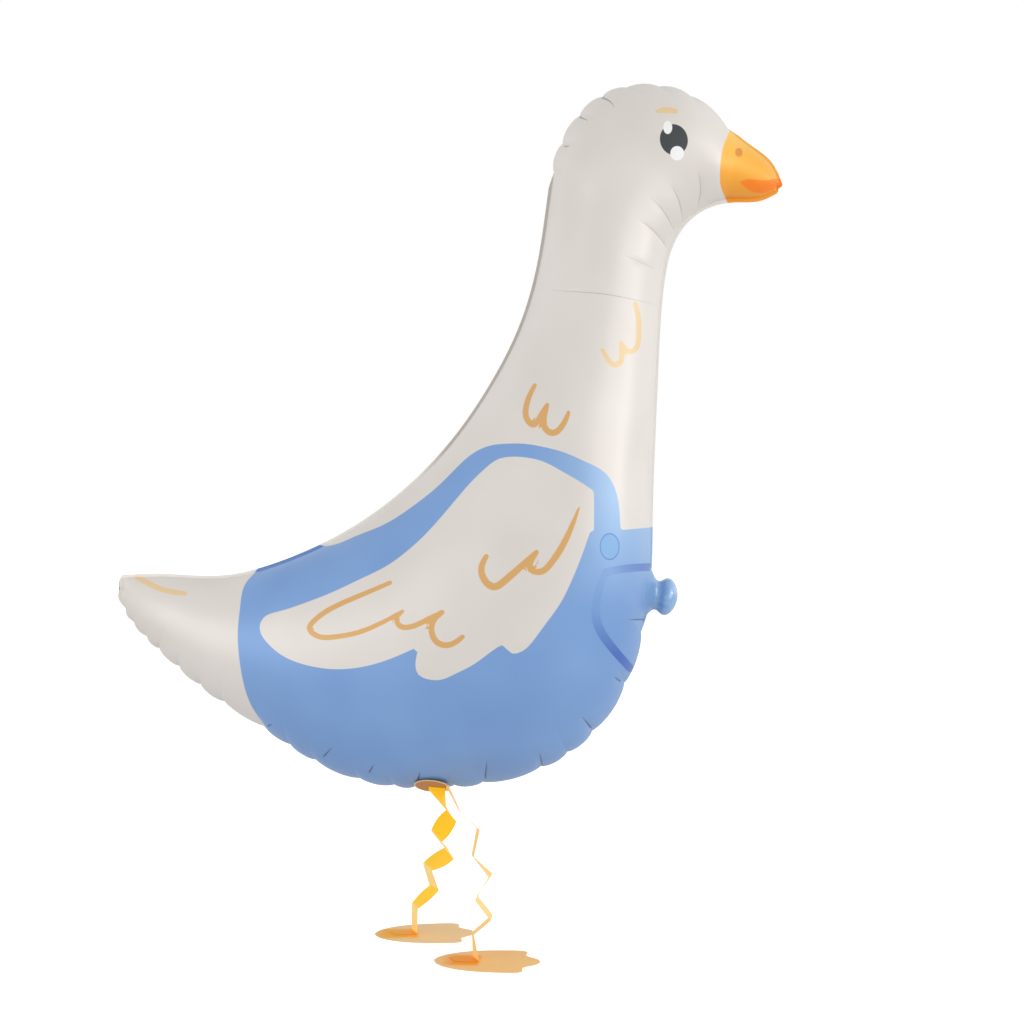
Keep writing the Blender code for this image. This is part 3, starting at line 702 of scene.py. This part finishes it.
def printedFoil():
    # Satin pearl film: broad soft reflections with no sharp image in them, and flat matt-edged print colours
    look = foilLook
    material, tree, shader = startMaterial("satin_print_nylon_foil")
    soft = look["printEdge"]

    def lengthOf(vector):
        return addNode(tree, "ShaderNodeVectorMath", {0: vector}, operation="LENGTH").outputs["Value"]

    def inPrint(name, size, edge):
        # 1 where a printed mark's offset is under its edge; the size in mm gives the edge its softness
        return below(tree, lengthOf(attribute(tree, name + "Offset", "Vector")), edge, soft / size)

    def painted(under, mask, name):
        return blendColour(tree, mask, under, look[name])

    def withMarks(under, marks):
        for tone, name, size, edge in marks:
            under = painted(under, inPrint(name, size, edge), tone)
        return under

    place = placeOn(tree)
    ahead, _, height = partsOf(tree, place)
    cloud = noiseOn(tree, place, look["cloudSize"], Detail=1.0)
    pearl = blendColour(tree, cloud, look["pearl"], look["pearlShade"])
    blue = blendColour(tree, cloud, look["blue"], look["blueDeep"])
    # a painted highlight makes the blue paler towards the bib and its strap, where the light from the right
    # falls
    bibHighlight = product(tree, ramp(tree, ahead, *look["bibAhead"]), ramp(tree, height, *look["bibAbove"]),
                    look["bibHighlightStrength"])
    blue = painted(blue, bibHighlight, "blueHighlight")
    isBlue = below(tree, attribute(tree, "blueDistance"), 0.0, soft)
    colour = blendColour(tree, isBlue, pearl, blue)

    # the pocket line fades where a painted highlight lies over it
    band = product(tree, inPrint(*look["pocketLine"]), isBlue, attribute(tree, "pocketStrength"))
    colour = withMarks(painted(colour, band, "pocket"), look["bodyMarks"])

    # painted shade darkens the beak towards its lower part
    up = ramp(tree, height, *look["beakFade"])
    beak = blendColour(tree, up, look["beakShaded"], look["beakLit"])
    colour = blendColour(tree, below(tree, attribute(tree, "beakDistance"), 0.0, soft), colour, beak)
    colour = painted(colour, below(tree, attribute(tree, "mouthDistance"), 0.0, soft), "mouth")
    colour = withMarks(colour, look["headMarks"])

    # the seam's edge gets a painted highlight on the front and painted shade on the back
    blueSeamLighting = blendColour(tree, attribute(tree, "backSide"), look["blueSeamLighting"], look["blueSeamShade"])
    seamLighting = blendColour(tree, isBlue, look["pearlSeamHighlight"], blueSeamLighting)
    # painted shade on the flat seam along the back's stretch
    seamLighting = painted(seamLighting, attribute(tree, "shadedSeam"), "seamShade")
    nearEdge = below(tree, attribute(tree, "seamDistance"), *look["seamEdge"])
    offBeak = below(tree, product(tree, attribute(tree, "beakDistance"), -1.0), 0.0, soft)
    onSeam = product(tree, nearEdge, look["seamSheen"], offBeak)
    colour = blendColour(tree, onSeam, colour, seamLighting)

    # painted shade along each fold's line, which the bump also sinks
    across, along, strength = partsOf(tree, attribute(tree, "foldOffset", "Vector"))
    flatOffset = addNode(tree, "ShaderNodeCombineXYZ", {0: across, 1: along}).outputs[0]
    inFold = product(tree, below(tree, lengthOf(flatOffset), *look["foldEdge"]), strength)
    foldShade = blendColour(tree, isBlue, look["foldShadeOnPearl"], look["foldShadeOnBlue"])
    colour = blendColour(tree, inFold, colour, foldShade)

    # fine wrinkles beside the seam, which fade towards the taut middle of each sheet
    wrinkle = noiseOn(tree, place, look["wrinkleSize"], Detail=3.0, Roughness=0.45)
    nearSeam = ramp(tree, attribute(tree, "seamDistance"), 0.0, look["wrinkleRun"], 1.0, look["wrinkleFar"])
    relief = maths(tree, "SUBTRACT", product(tree, wrinkle, nearSeam),
                   product(tree, inFold, look["foldRelief"]))
    setInputs(tree, shader, {
        "Base Color": colour, "Normal": bumpOf(tree, relief, look["wrinkleBump"], look["wrinkleDepth"]),
        "Roughness": look["roughness"], "Metallic": look["metallic"],
        "Coat Weight": look["coat"], "Coat Roughness": look["coatRoughness"],
    })
    return material


foil = buildFoil(printedFoil())
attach(foil, "root")
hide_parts("balloon")
print("foil done")


# Filling neck at the chest: a flared tube of the same film, closed by a puffed cap

neckForm = {
    "share": 0.598, "droop": 9.0,
    # distance from the seam and radius, in mm, from inside the chest to the cap's tip
    "profile": [(-18, 50.0), (-10, 41.0), (-4, 32.0), (0.5, 25.0), (4, 20.2), (7.3, 18.0), (10.5, 18.1),
                (14, 20.2), (17.5, 22.3), (21, 22.6), (25.5, 20.6), (29.8, 15.4), (32.7, 8.6), (34, 0.0)],
    "rows": 120, "sides": 120,
    # gathers: how many, how deep, where along the neck they are deepest and how far from there they fade
    "gathers": 13, "gatherDepth": 0.4, "gatherPlace": 13, "gatherReach": 16, "gatherDrift": (1.5, 3),
    "gatherRadius": 1.0,         # the tip is left smooth where it is narrower than this
    "sharpAngle": 60,
}
neckLook = {
    "root": "#7AA1D0", "light": "#96BCE4", "deep": "#7EA6DA",
    "glossyFrom": (-2.0, 12.0),      # distances from the seam between which the gloss comes up, in mm
    "grainSize": 7.0, "bump": 0.20, "bumpDepth": 1.0, "roughness": 0.36, "metallic": 0.12,
    "coatRoughness": 0.04,
}


def buildNeck(material):
    # The profile is turned round the tube's axis, with small gathers round it that fade at the tip
    form = neckForm
    along, radius = smoothLine(form["profile"], form["rows"]).T
    radius = np.clip(radius, 0, None)
    radius[-1] = 0.0
    turn = np.linspace(0, 2 * math.pi, form["sides"], endpoint=False)
    strength = np.clip(1 - np.abs(along - form["gatherPlace"]) / form["gatherReach"], 0, 1)[:, None]
    drift, waves = form["gatherDrift"]
    gather = np.cos(form["gathers"] * turn + drift * np.sin(waves * turn)) * strength * form["gatherDepth"]
    wide = radius[:, None] + gather * (radius > form["gatherRadius"])[:, None]
    across, up = wide * np.sin(turn), wide * np.cos(turn)
    droop = math.radians(form["droop"])
    root = onLine(bellyLine, "curve", np.array([form["share"]]))[0] / mm
    x = root[0] + along[:, None] * math.cos(droop) + up * math.sin(droop)
    z = root[1] - along[:, None] * math.sin(droop) + up * math.cos(droop)
    points = np.stack([x, across, z], axis=-1)[:-1] * mm
    tip = np.array([[x[-1, 0], 0.0, z[-1, 0]]]) * mm
    rows, sides = points.shape[:2]
    faces = [face[::-1] for face in tubeFaces(rows, sides)]
    last = (rows - 1) * sides
    faces += [[last + j, last + (j + 1) % sides, rows * sides] for j in range(sides)]
    points = np.vstack([points.reshape(-1, 3), tip])
    piece = makePiece("fillingNeck", points, faces, material, form["sharpAngle"])
    addField(piece, "outOfChest", np.append(np.repeat(along[:-1], sides), along[-1]))
    return piece


def glossyFilm():
    # Unlaminated film: glossier than the body towards the cap, so it holds small bright glints there
    look = neckLook
    material, tree, shader = startMaterial("glossy_blue_film")
    noise = noiseOn(tree, placeOn(tree), look["grainSize"], Detail=2.0)
    shine = ramp(tree, attribute(tree, "outOfChest"), *look["glossyFrom"])
    film = blendColour(tree, noise, look["light"], look["deep"])
    setInputs(tree, shader, {
        "Base Color": blendColour(tree, shine, look["root"], film),
        "Normal": bumpOf(tree, noise, look["bump"], look["bumpDepth"]), "Coat Weight": shine,
        "Roughness": look["roughness"], "Metallic": look["metallic"], "Coat Roughness": look["coatRoughness"],
    })
    return material


neck = buildNeck(glossyFilm())
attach(neck, "root")
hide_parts("balloon")
print("filling neck done")


# Round tab under the belly, which the legs hang from

tabForm = {
    "share": 0.3205, "offset": 38.0,             # along the belly line, and to the near side
    "radius": 21.0, "thickness": 1.0, "roll": 5.0,
    "clearance": 0.5,                            # from the foil
    "reachSlope": 30.0,                          # the slope that the foil is read for, in degrees
    "readPoints": 200,                           # points that the foil is read at
    "rim": 0.4, "rimPoints": 4, "rings": 8, "sides": 96,
}
tabLook = {
    # the orange card is darkened to brown with painted shade from the belly above it
    "light": "#D4945A", "deep": "#BF7C42", "cutEdge": "#F2C893", "roughness": 0.45,
    "edgeFrom": (0.93, 0.02),    # share of the radius where the cut edge starts, and how softly
}


def tabPlace():
    # The tab is as steep as the foil beside the seam and just clear of it: its centre and its three axes
    form = tabForm
    share = np.array([form["share"]])
    points, _ = foilSheet(runAt(2, share), form["readPoints"])
    side = points[0, points.shape[1] // 2:] / mm
    reach = form["radius"] * math.cos(math.radians(form["reachSlope"]))
    inner, outer = reach - form["offset"], -reach - form["offset"]
    low, high = np.interp((inner, outer), side[:, 1], side[:, 2])
    pitch = math.atan2(high - low, inner - outer)
    spread = np.linspace(outer, inner, form["readPoints"])
    bulge = np.max(high + (low - high) * (spread - outer) / (inner - outer)
                   - np.interp(spread, side[:, 1], side[:, 2]))
    middle = (low + high) / 2 - bulge - (form["clearance"] + form["thickness"]) / math.cos(pitch)
    roll = math.radians(form["roll"])
    rollTurn = np.array([[math.cos(roll), 0, math.sin(roll)], [0, 1, 0],
                         [-math.sin(roll), 0, math.cos(roll)]])
    pitchTurn = np.array([[1, 0, 0], [0, math.cos(pitch), math.sin(pitch)],
                          [0, -math.sin(pitch), math.cos(pitch)]])
    edge = onLine(bellyLine, "curve", share)[0] / mm
    return np.array([edge[0], -form["offset"], middle]) * mm, rollTurn @ pitchTurn


def buildTab(material):
    # A disc with a rounded rim, turned from its half profile
    form = tabForm
    half, r, rim = form["thickness"] / 2, form["radius"], form["rim"]
    bend = np.linspace(0, math.pi / 2, form["rimPoints"])
    inward = np.linspace(r - rim, 1, form["rings"])
    radii = np.concatenate([inward[::-1], r - rim + rim * np.sin(bend), r - rim + rim * np.cos(bend), inward])
    flatFace = np.full(form["rings"], half)
    heights = np.concatenate([flatFace, half - rim + rim * np.cos(bend), rim - half - rim * np.sin(bend),
                              -flatFace])
    turn = np.linspace(0, 2 * math.pi, form["sides"], endpoint=False)
    flat = np.stack([radii[:, None] * np.cos(turn), radii[:, None] * np.sin(turn),
                     np.repeat(heights[:, None], len(turn), 1)], axis=-1) * mm
    centre, axes = tabPlace()
    points = flat @ axes.T + centre
    rows, sides = points.shape[:2]
    piece = makePiece("hangingTab", points, solidFaces(rows, sides), material)
    addField(piece, "fromCentre", np.repeat(radii / r, sides))
    return piece


cardLook = {"fibreSize": 3.0, "bump": 0.12, "bumpDepth": 0.3, "specular": 0.2}    # sizes in mm


def coatedCard(name, light, deep, roughness):
    # Card with a thin coat: even colour with a soft sheen and a faint fibre grain, coarse enough to show
    look = cardLook
    material, tree, shader = startMaterial(name)
    fibre = noiseOn(tree, placeOn(tree), look["fibreSize"], Detail=4.0)
    setInputs(tree, shader, {"Normal": bumpOf(tree, fibre, look["bump"], look["bumpDepth"]),
                             "Roughness": roughness, "Specular IOR Level": look["specular"]})
    return material, tree, shader, blendColour(tree, fibre, light, deep)


def tabCard():
    # Orange card, darkened to brown by painted shade, whose cut edge is paler
    look = tabLook
    material, tree, shader, colour = coatedCard("coated_orange_tab_card", look["light"], look["deep"],
                                                look["roughness"])
    onFace = below(tree, attribute(tree, "fromCentre"), *look["edgeFrom"])
    setInputs(tree, shader, {"Base Color": blendColour(tree, onFace, look["cutEdge"], colour)})
    return material


tab = buildTab(tabCard())
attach(tab, "root")
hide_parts("leg_tab")
print("tab done")


# Webbed feet of card

footForm = {
    "length": 126.0, "width": 104.0, "thickness": 1.0, "landing": 50.0, "edge": 0.35, "edgePoints": 4,
    "near": (-17.0, -60.0, -4.5), "far": (-97.0, 71.0, 4.0),     # the heel's place and the foot's turn
    # half the outline from heel to middle toe, as shares of the length and of half the width
    "outline": [
        (0.000, 0.00), (0.030, 0.26), (0.110, 0.54), (0.260, 0.80), (0.450, 0.95), (0.650, 1.00),
        (0.800, 0.99), (0.852, 0.88), (0.850, 0.68), (0.868, 0.48), (0.925, 0.34), (0.978, 0.18),
        (1.000, 0.00),
    ],
    "sidePoints": 90,
}
footLook = {
    # two card colours, the colour of the leg's painted shadow under the glued flap, and how far behind the
    # landing that reaches, in mm
    "near": ("#FFCE86", "#FDC478", "#FFA224", 42.0), "far": ("#FCD69C", "#F8CA8C", "#FFB43A", 58.0),
    "patchHalfWidth": 24.0, "patchSide": 5.0, "patchAhead": 4.0, "patchFade": 0.4, "roughness": 0.6,
}


def onFoot(heel, along, across=0.0):
    # A place on the floor some way from the heel, along and across the foot's middle line
    turn = math.radians(heel[2])
    return np.array([heel[0] + along * math.cos(turn) - across * math.sin(turn),
                     heel[1] + along * math.sin(turn) + across * math.cos(turn)])


def buildFoot(name, heel, material):
    # The outline's rings step up round a rounded card edge; the flat faces close them
    form = footForm
    side = smoothLine(form["outline"], form["sidePoints"])
    loop = np.vstack([side, side[-2:0:-1] * np.array([1, -1])])
    outline = loop * np.array([form["length"], form["width"] / 2])
    tangent = np.roll(outline, -1, axis=0) - np.roll(outline, 1, axis=0)
    inward = np.stack([-tangent[:, 1], tangent[:, 0]], axis=1) / np.linalg.norm(tangent, axis=1)[:, None]
    inward *= np.sign(np.sum(inward * (outline.mean(axis=0) - outline)))
    bend = np.linspace(0, math.pi / 2, form["edgePoints"])
    inset = np.concatenate([form["edge"] * (1 - np.sin(bend)), form["edge"] * (1 - np.cos(bend))])
    heights = np.concatenate([form["edge"] * (1 - np.cos(bend)),
                              form["thickness"] - form["edge"] * (1 - np.sin(bend))])
    flat = outline[None] + inward[None] * inset[:, None, None]
    plan = np.stack(onFoot(heel, flat[:, :, 0], flat[:, :, 1]), axis=-1)
    up = np.repeat(heights[:, None, None], len(outline), axis=1)
    points = np.concatenate([plan, up], axis=2) * mm
    faces = [face[::-1] for face in solidFaces(*points.shape[:2])]
    return makePiece(name, points, faces, material)


def footCard(name, heel, light, deep, legShadow, reach):
    # A painted shadow of the leg darkens the card from the landing towards the heel, where the strip is glued
    # down
    look = footLook
    material, tree, shader, colour = coatedCard(name, light, deep, look["roughness"])
    landing = onFoot(heel, footForm["landing"]) * mm
    turn = (0.0, 0.0, math.radians(heel[2]))
    sockets = {"Vector": placeOn(tree), "Location": (*landing, 0.0), "Rotation": turn}
    local = addNode(tree, "ShaderNodeMapping", sockets, vector_type="TEXTURE").outputs[0]
    along, sideways, _ = partsOf(tree, local)
    aside = maths(tree, "ABSOLUTE", sideways)
    across = below(tree, aside, look["patchHalfWidth"] * mm, look["patchSide"] * mm)
    ahead = below(tree, along, look["patchAhead"] * mm, look["patchAhead"] * mm)
    behind = ramp(tree, along, -reach * mm, (look["patchFade"] - 1) * reach * mm)
    # where the painted shadow of the leg lies
    legShadowShare = product(tree, across, ahead, behind)
    setInputs(tree, shader, {"Base Color": blendColour(tree, legShadowShare, colour, legShadow)})
    return material


nearFoot = buildFoot("nearFootCard", footForm["near"],
                     footCard("coated_peach_card_near", footForm["near"], *footLook["near"]))
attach(nearFoot, "root")
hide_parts("near_foot")
farFoot = buildFoot("farFootCard", footForm["far"],
                    footCard("coated_peach_card_far", footForm["far"], *footLook["far"]))
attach(farFoot, "root")
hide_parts("far_foot")
print("feet done")


# Folded strip legs: flat panels between folds, each fold with its own direction

legForm = {
    "width": 20.0, "thickness": 0.5, "footFlap": 28.0, "gap": 0.3, "stations": 10, "columns": 6,
    "footLine": (0.36, -0.93, 0.0),
    # up and forward of the landing as shares of the leg's height, sideways as a share of the way, then the
    # fold's direction
    "nearFolds": [
        (0.866, -0.101, 0.10, (0.17, -0.98, 0.00)), (0.759, 0.011, 0.20, (0.19, -0.98, 0.05)),
        (0.599, -0.022, 0.36, (0.13, -0.99, 0.04)), (0.487, 0.086, 0.46, (-0.22, -0.97, 0.00)),
        (0.356, 0.000, 0.60, (-0.09, -0.99, -0.07)), (0.243, 0.092, 0.72, (-0.07, -0.98, -0.13)),
        (0.152, -0.019, 0.86, (0.12, -0.99, 0.06)),
    ],
    "farFolds": [
        (0.833, 0.252, 0.12, (0.64, -0.50, -0.58)), (0.698, 0.156, 0.18, (0.60, -0.49, -0.64)),
        (0.577, 0.242, 0.37, (0.43, -0.67, -0.60)), (0.484, 0.097, 0.43, (0.57, -0.76, -0.30)),
        (0.326, 0.134, 0.66, (0.59, -0.80, -0.13)), (0.202, 0.008, 0.72, (0.41, -0.90, -0.13)),
    ],
    # both ends of the flap on the tab as shares of its radius, and the direction of its end
    "nearFlap": ((0.83, 0.00), (0.97, 0.00)), "nearFlapLine": (0.0, -1.0, 0.0),
    "farFlap": ((0.31, 0.05), (0.31, 0.60)), "farFlapLine": (-1.0, 0.0, 0.0),
    # for each panel from the tab down: how much wider it is halfway, and its painted light and shade from 0
    # pale (painted highlight) by 1 deep to 2 for the glued flap's painted shadow; two tones stand for its two
    # ends
    "nearSwell": [0, 0, 0, 0, 0, 0, 0.1, 0, 0, 0],
    "nearTones": [1, 0.2, 0.2, 0.6, 0.6, 0.2, 0.4, 0.5, 0.7, 2],
    "farSwell": [0, 0, 0.28, 0, 0.30, 0, 0.26, 0, 0],
    "farTones": [1, (1.2, 0), 1, 0.1, 0.9, 0, 0.9, 0, 2],
    "swellFullness": 0.8, "sharpAngle": 25,
}
stripLook = {
    # pale (painted highlight), deep and glued-flap (painted shadow) colours of each strip, and the strength
    # of a painted glow that stands for the light coming through where it isn't glued
    "near": ("#F9D592", "#F6C272", "#FFA224"), "far": ("#FBD888", "#FFC820", "#FFB034"),
    "lightThrough": 0.17, "gluedFrom": (1.4, 1.8), "roughness": 0.55,
}


def legRows(folds, flap, flapLine, heel):
    # Middle and direction of every fold line, from the flap on the tab to the flap on the foot, in mm
    form = legForm
    centre, axes = tabPlace()
    under = -(tabForm["thickness"] / 2 + form["gap"] + form["thickness"] / 2)
    radius = tabForm["radius"]
    flaps = [axes @ np.array([a * radius, b * radius, under]) + centre / mm for a, b in flap]
    line = axes @ np.array(flapLine)
    height = footForm["thickness"] + form["gap"] + form["thickness"] / 2
    landing = np.append(onFoot(heel, footForm["landing"]), height)
    flapEnd = np.append(onFoot(heel, footForm["landing"] - form["footFlap"]), height)
    rise = flaps[1][2] - landing[2]
    rows = [(flaps[0], line), (flaps[1], line)]
    for up, forward, sideways, direction in folds:
        y = flaps[1][1] + (landing[1] - flaps[1][1]) * sideways
        rows.append((np.array([landing[0] + forward * rise, y, landing[2] + up * rise]), np.array(direction)))
    footLine = np.array(form["footLine"])
    rows += [(landing, footLine), (flapEnd, footLine)]
    centres, directions = (np.array(part) for part in zip(*rows))
    return centres, directions / np.linalg.norm(directions, axis=1)[:, None]


def buildLeg(side, name, material):
    # Each panel is a ruled grid between two fold lines; its middle may swell a little wider
    form = legForm
    centres, lines = legRows(form[side + "Folds"], form[side + "Flap"], form[side + "FlapLine"],
                             footForm[side])
    part = np.linspace(0, 1, form["stations"], endpoint=False)[None, :, None]
    middle = (centres[:-1, None] * (1 - part) + centres[1:, None] * part).reshape(-1, 3)
    half = (lines[:-1, None] * (1 - part) + lines[1:, None] * part).reshape(-1, 3) * form["width"] / 2
    bow = np.sin(math.pi * np.tile(part.ravel(), len(centres) - 1)) ** form["swellFullness"]
    wide = 1 + np.repeat(form[side + "Swell"], form["stations"]) * bow
    middle = np.vstack([middle, centres[-1:]])
    half = np.vstack([half * wide[:, None], lines[-1:] * form["width"] / 2])
    onward = np.diff(middle, axis=0)
    onward /= np.linalg.norm(onward, axis=1)[:, None]
    onward = np.vstack([onward[:1], onward]) + np.vstack([onward, onward[-1:]])
    face = np.cross(half, onward)
    face *= form["thickness"] / 2 / np.linalg.norm(face, axis=1)[:, None]
    across = np.linspace(1, -1, form["columns"] + 1)[None, :, None]
    top = middle[:, None] + half[:, None] * across + face[:, None]
    bottom = middle[:, None] - half[:, None] * across - face[:, None]
    points = np.concatenate([top, bottom], axis=1) * mm
    rows, columns = points.shape[:2]
    piece = makePiece(name, points, solidFaces(rows, columns), material, form["sharpAngle"])
    tones = form[side + "Tones"]
    ends = np.array([tone if isinstance(tone, tuple) else (tone, tone) for tone in tones], float)
    tones = ends[:, :1] * (1 - part[0].T) + ends[:, 1:] * part[0].T
    addField(piece, "tone", np.repeat(np.append(tones.ravel(), ends[-1, 1]), columns))
    return piece


def stripPaper(name, pale, deep, gluedFlapShadow):
    # Thin coated paper: a painted glow stands for the light that comes through it, and painted highlight and
    # shade make some panels paler than the others
    look = stripLook
    material, tree, shader, colour = coatedCard(name, deep, deep, look["roughness"])
    tone = attribute(tree, "tone")
    mixed = blendColour(tree, tone, pale, colour)
    mixed = blendColour(tree, maths(tree, "SUBTRACT", tone, 1.0), mixed, gluedFlapShadow)
    # a painted glow for the light that comes through the paper, none on the glued flap
    through = ramp(tree, tone, *look["gluedFrom"], look["lightThrough"], 0.0)
    setInputs(tree, shader, {"Base Color": mixed, "Emission Color": mixed, "Emission Strength": through})
    return material


nearLeg = buildLeg("near", "nearLegStrip", stripPaper("pale_orange_strip_paper", *stripLook["near"]))
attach(nearLeg, "root")
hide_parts("near_leg")
farLeg = buildLeg("far", "farLegStrip", stripPaper("golden_strip_paper", *stripLook["far"]))
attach(farLeg, "root")
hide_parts("far_leg")
print("legs done")


# Floor, light and camera

studio = {
    "floorSize": 40.0, "floorGlow": 0.62, "floorColour": "#E4E4E4", "floorRoughness": 0.9,
    "floorSpecular": 0.1, "skyColour": "#FDFEFF",
    "front": 0.72, "left": 0.26, "right": 0.46, "top": 0.90, "back": 0.80,
    # where the sky's light changes, as parts of its direction: front to back, towards each side, upwards
    "frontToBack": (-0.6, 0.5), "towardsRight": (0.25, 0.95), "towardsLeft": (-0.45, -0.95),
    "towardsTop": (0.25, 0.95),
    # each softbox: its place, size and power
    "key": ((2.3, -1.5, 0.9), 2.0, 14.0), "fill": ((-1.7, -1.8, 0.6), 1.5, 11.0),
    "spot": ((2.4, -0.5, 0.8), 0.22, 3.0), "aim": (0.0, 0.0, 0.55),
}


def buildFloor():
    # White card lit through from below for the camera, so that only the contact shadows show
    half = studio["floorSize"] / 2
    corners = np.array([(-half, -half, 0), (half, -half, 0), (half, half, 0), (-half, half, 0)], float)
    material, tree, shader = startMaterial("pale_studio_floor")
    setInputs(tree, shader, {
        "Base Color": linear(studio["floorColour"]), "Emission Color": linear("#FFFFFF"),
        "Roughness": studio["floorRoughness"], "Specular IOR Level": studio["floorSpecular"],
        "Emission Strength": product(tree, seenByCamera(tree), studio["floorGlow"]),
    })
    floor = makePiece("studioFloor", corners, [[0, 1, 2, 3]], material)


def buildWorld():
    # White all round for the camera; for the light it is brighter at both sides and dimmer above and in front
    world = bpy.data.worlds.new("studio")
    bpy.context.scene.world = world
    world.use_nodes = True
    tree = world.node_tree
    plain = tree.nodes["Background"]
    right, back, up = partsOf(tree, addNode(tree, "ShaderNodeTexCoord").outputs["Generated"])

    def eased(value, between, low, high):
        return ramp(tree, value, *between, low, high, "SMOOTHSTEP")

    around = eased(back, studio["frontToBack"], studio["front"], studio["back"])
    sides = maths(tree, "ADD", eased(right, studio["towardsRight"], 0.0, studio["right"]),
                  eased(right, studio["towardsLeft"], 0.0, studio["left"]))
    level = maths(tree, "ADD", around, sides)
    strength = product(tree, level, eased(up, studio["towardsTop"], 1.0, studio["top"]))
    setInputs(tree, plain, {"Color": linear(studio["skyColour"]), "Strength": strength})
    backdrop = addNode(tree, "ShaderNodeBackground", {"Color": (1, 1, 1, 1), "Strength": 1.0})
    mixed = addNode(tree, "ShaderNodeMixShader",
                    {0: seenByCamera(tree), 1: plain.outputs[0], 2: backdrop.outputs[0]})
    tree.links.new(mixed.outputs[0], tree.nodes["World Output"].inputs["Surface"])


def addSoftbox(name, place, size, power):
    # A square lamp that faces the aim: tilted down by its height over it, and turned towards it
    light = bpy.data.lights.new(name, "AREA")
    light.shape, light.size, light.energy = "SQUARE", size, power
    lamp = addObject(name, light)
    lamp.location = place
    aim = np.array(studio["aim"]) - np.array(place)
    tilt = math.pi / 2 - math.atan2(-aim[2], math.hypot(aim[0], aim[1]))
    lamp.rotation_euler = (tilt, 0, math.atan2(aim[1], aim[0]) - math.pi / 2)


def addCamera():
    # The lens shows the measured width of the seam plane at the view's distance
    data = bpy.data.cameras.new("camera")
    data.sensor_width = view["sensor"]
    data.lens = view["sensor"] * view["distance"] / view["shownWidth"]
    camera = addObject("camera", data)
    camera.location = (view["centreX"], -view["distance"], view["centreZ"])
    camera.rotation_euler = (math.pi / 2, 0, 0)
    bpy.context.scene.camera = camera


buildFloor()
buildWorld()
for name in ("key", "fill", "spot"):
    addSoftbox(name, *studio[name])
addCamera()
bpy.context.scene.view_settings.view_transform = "Standard"
print("studio done")
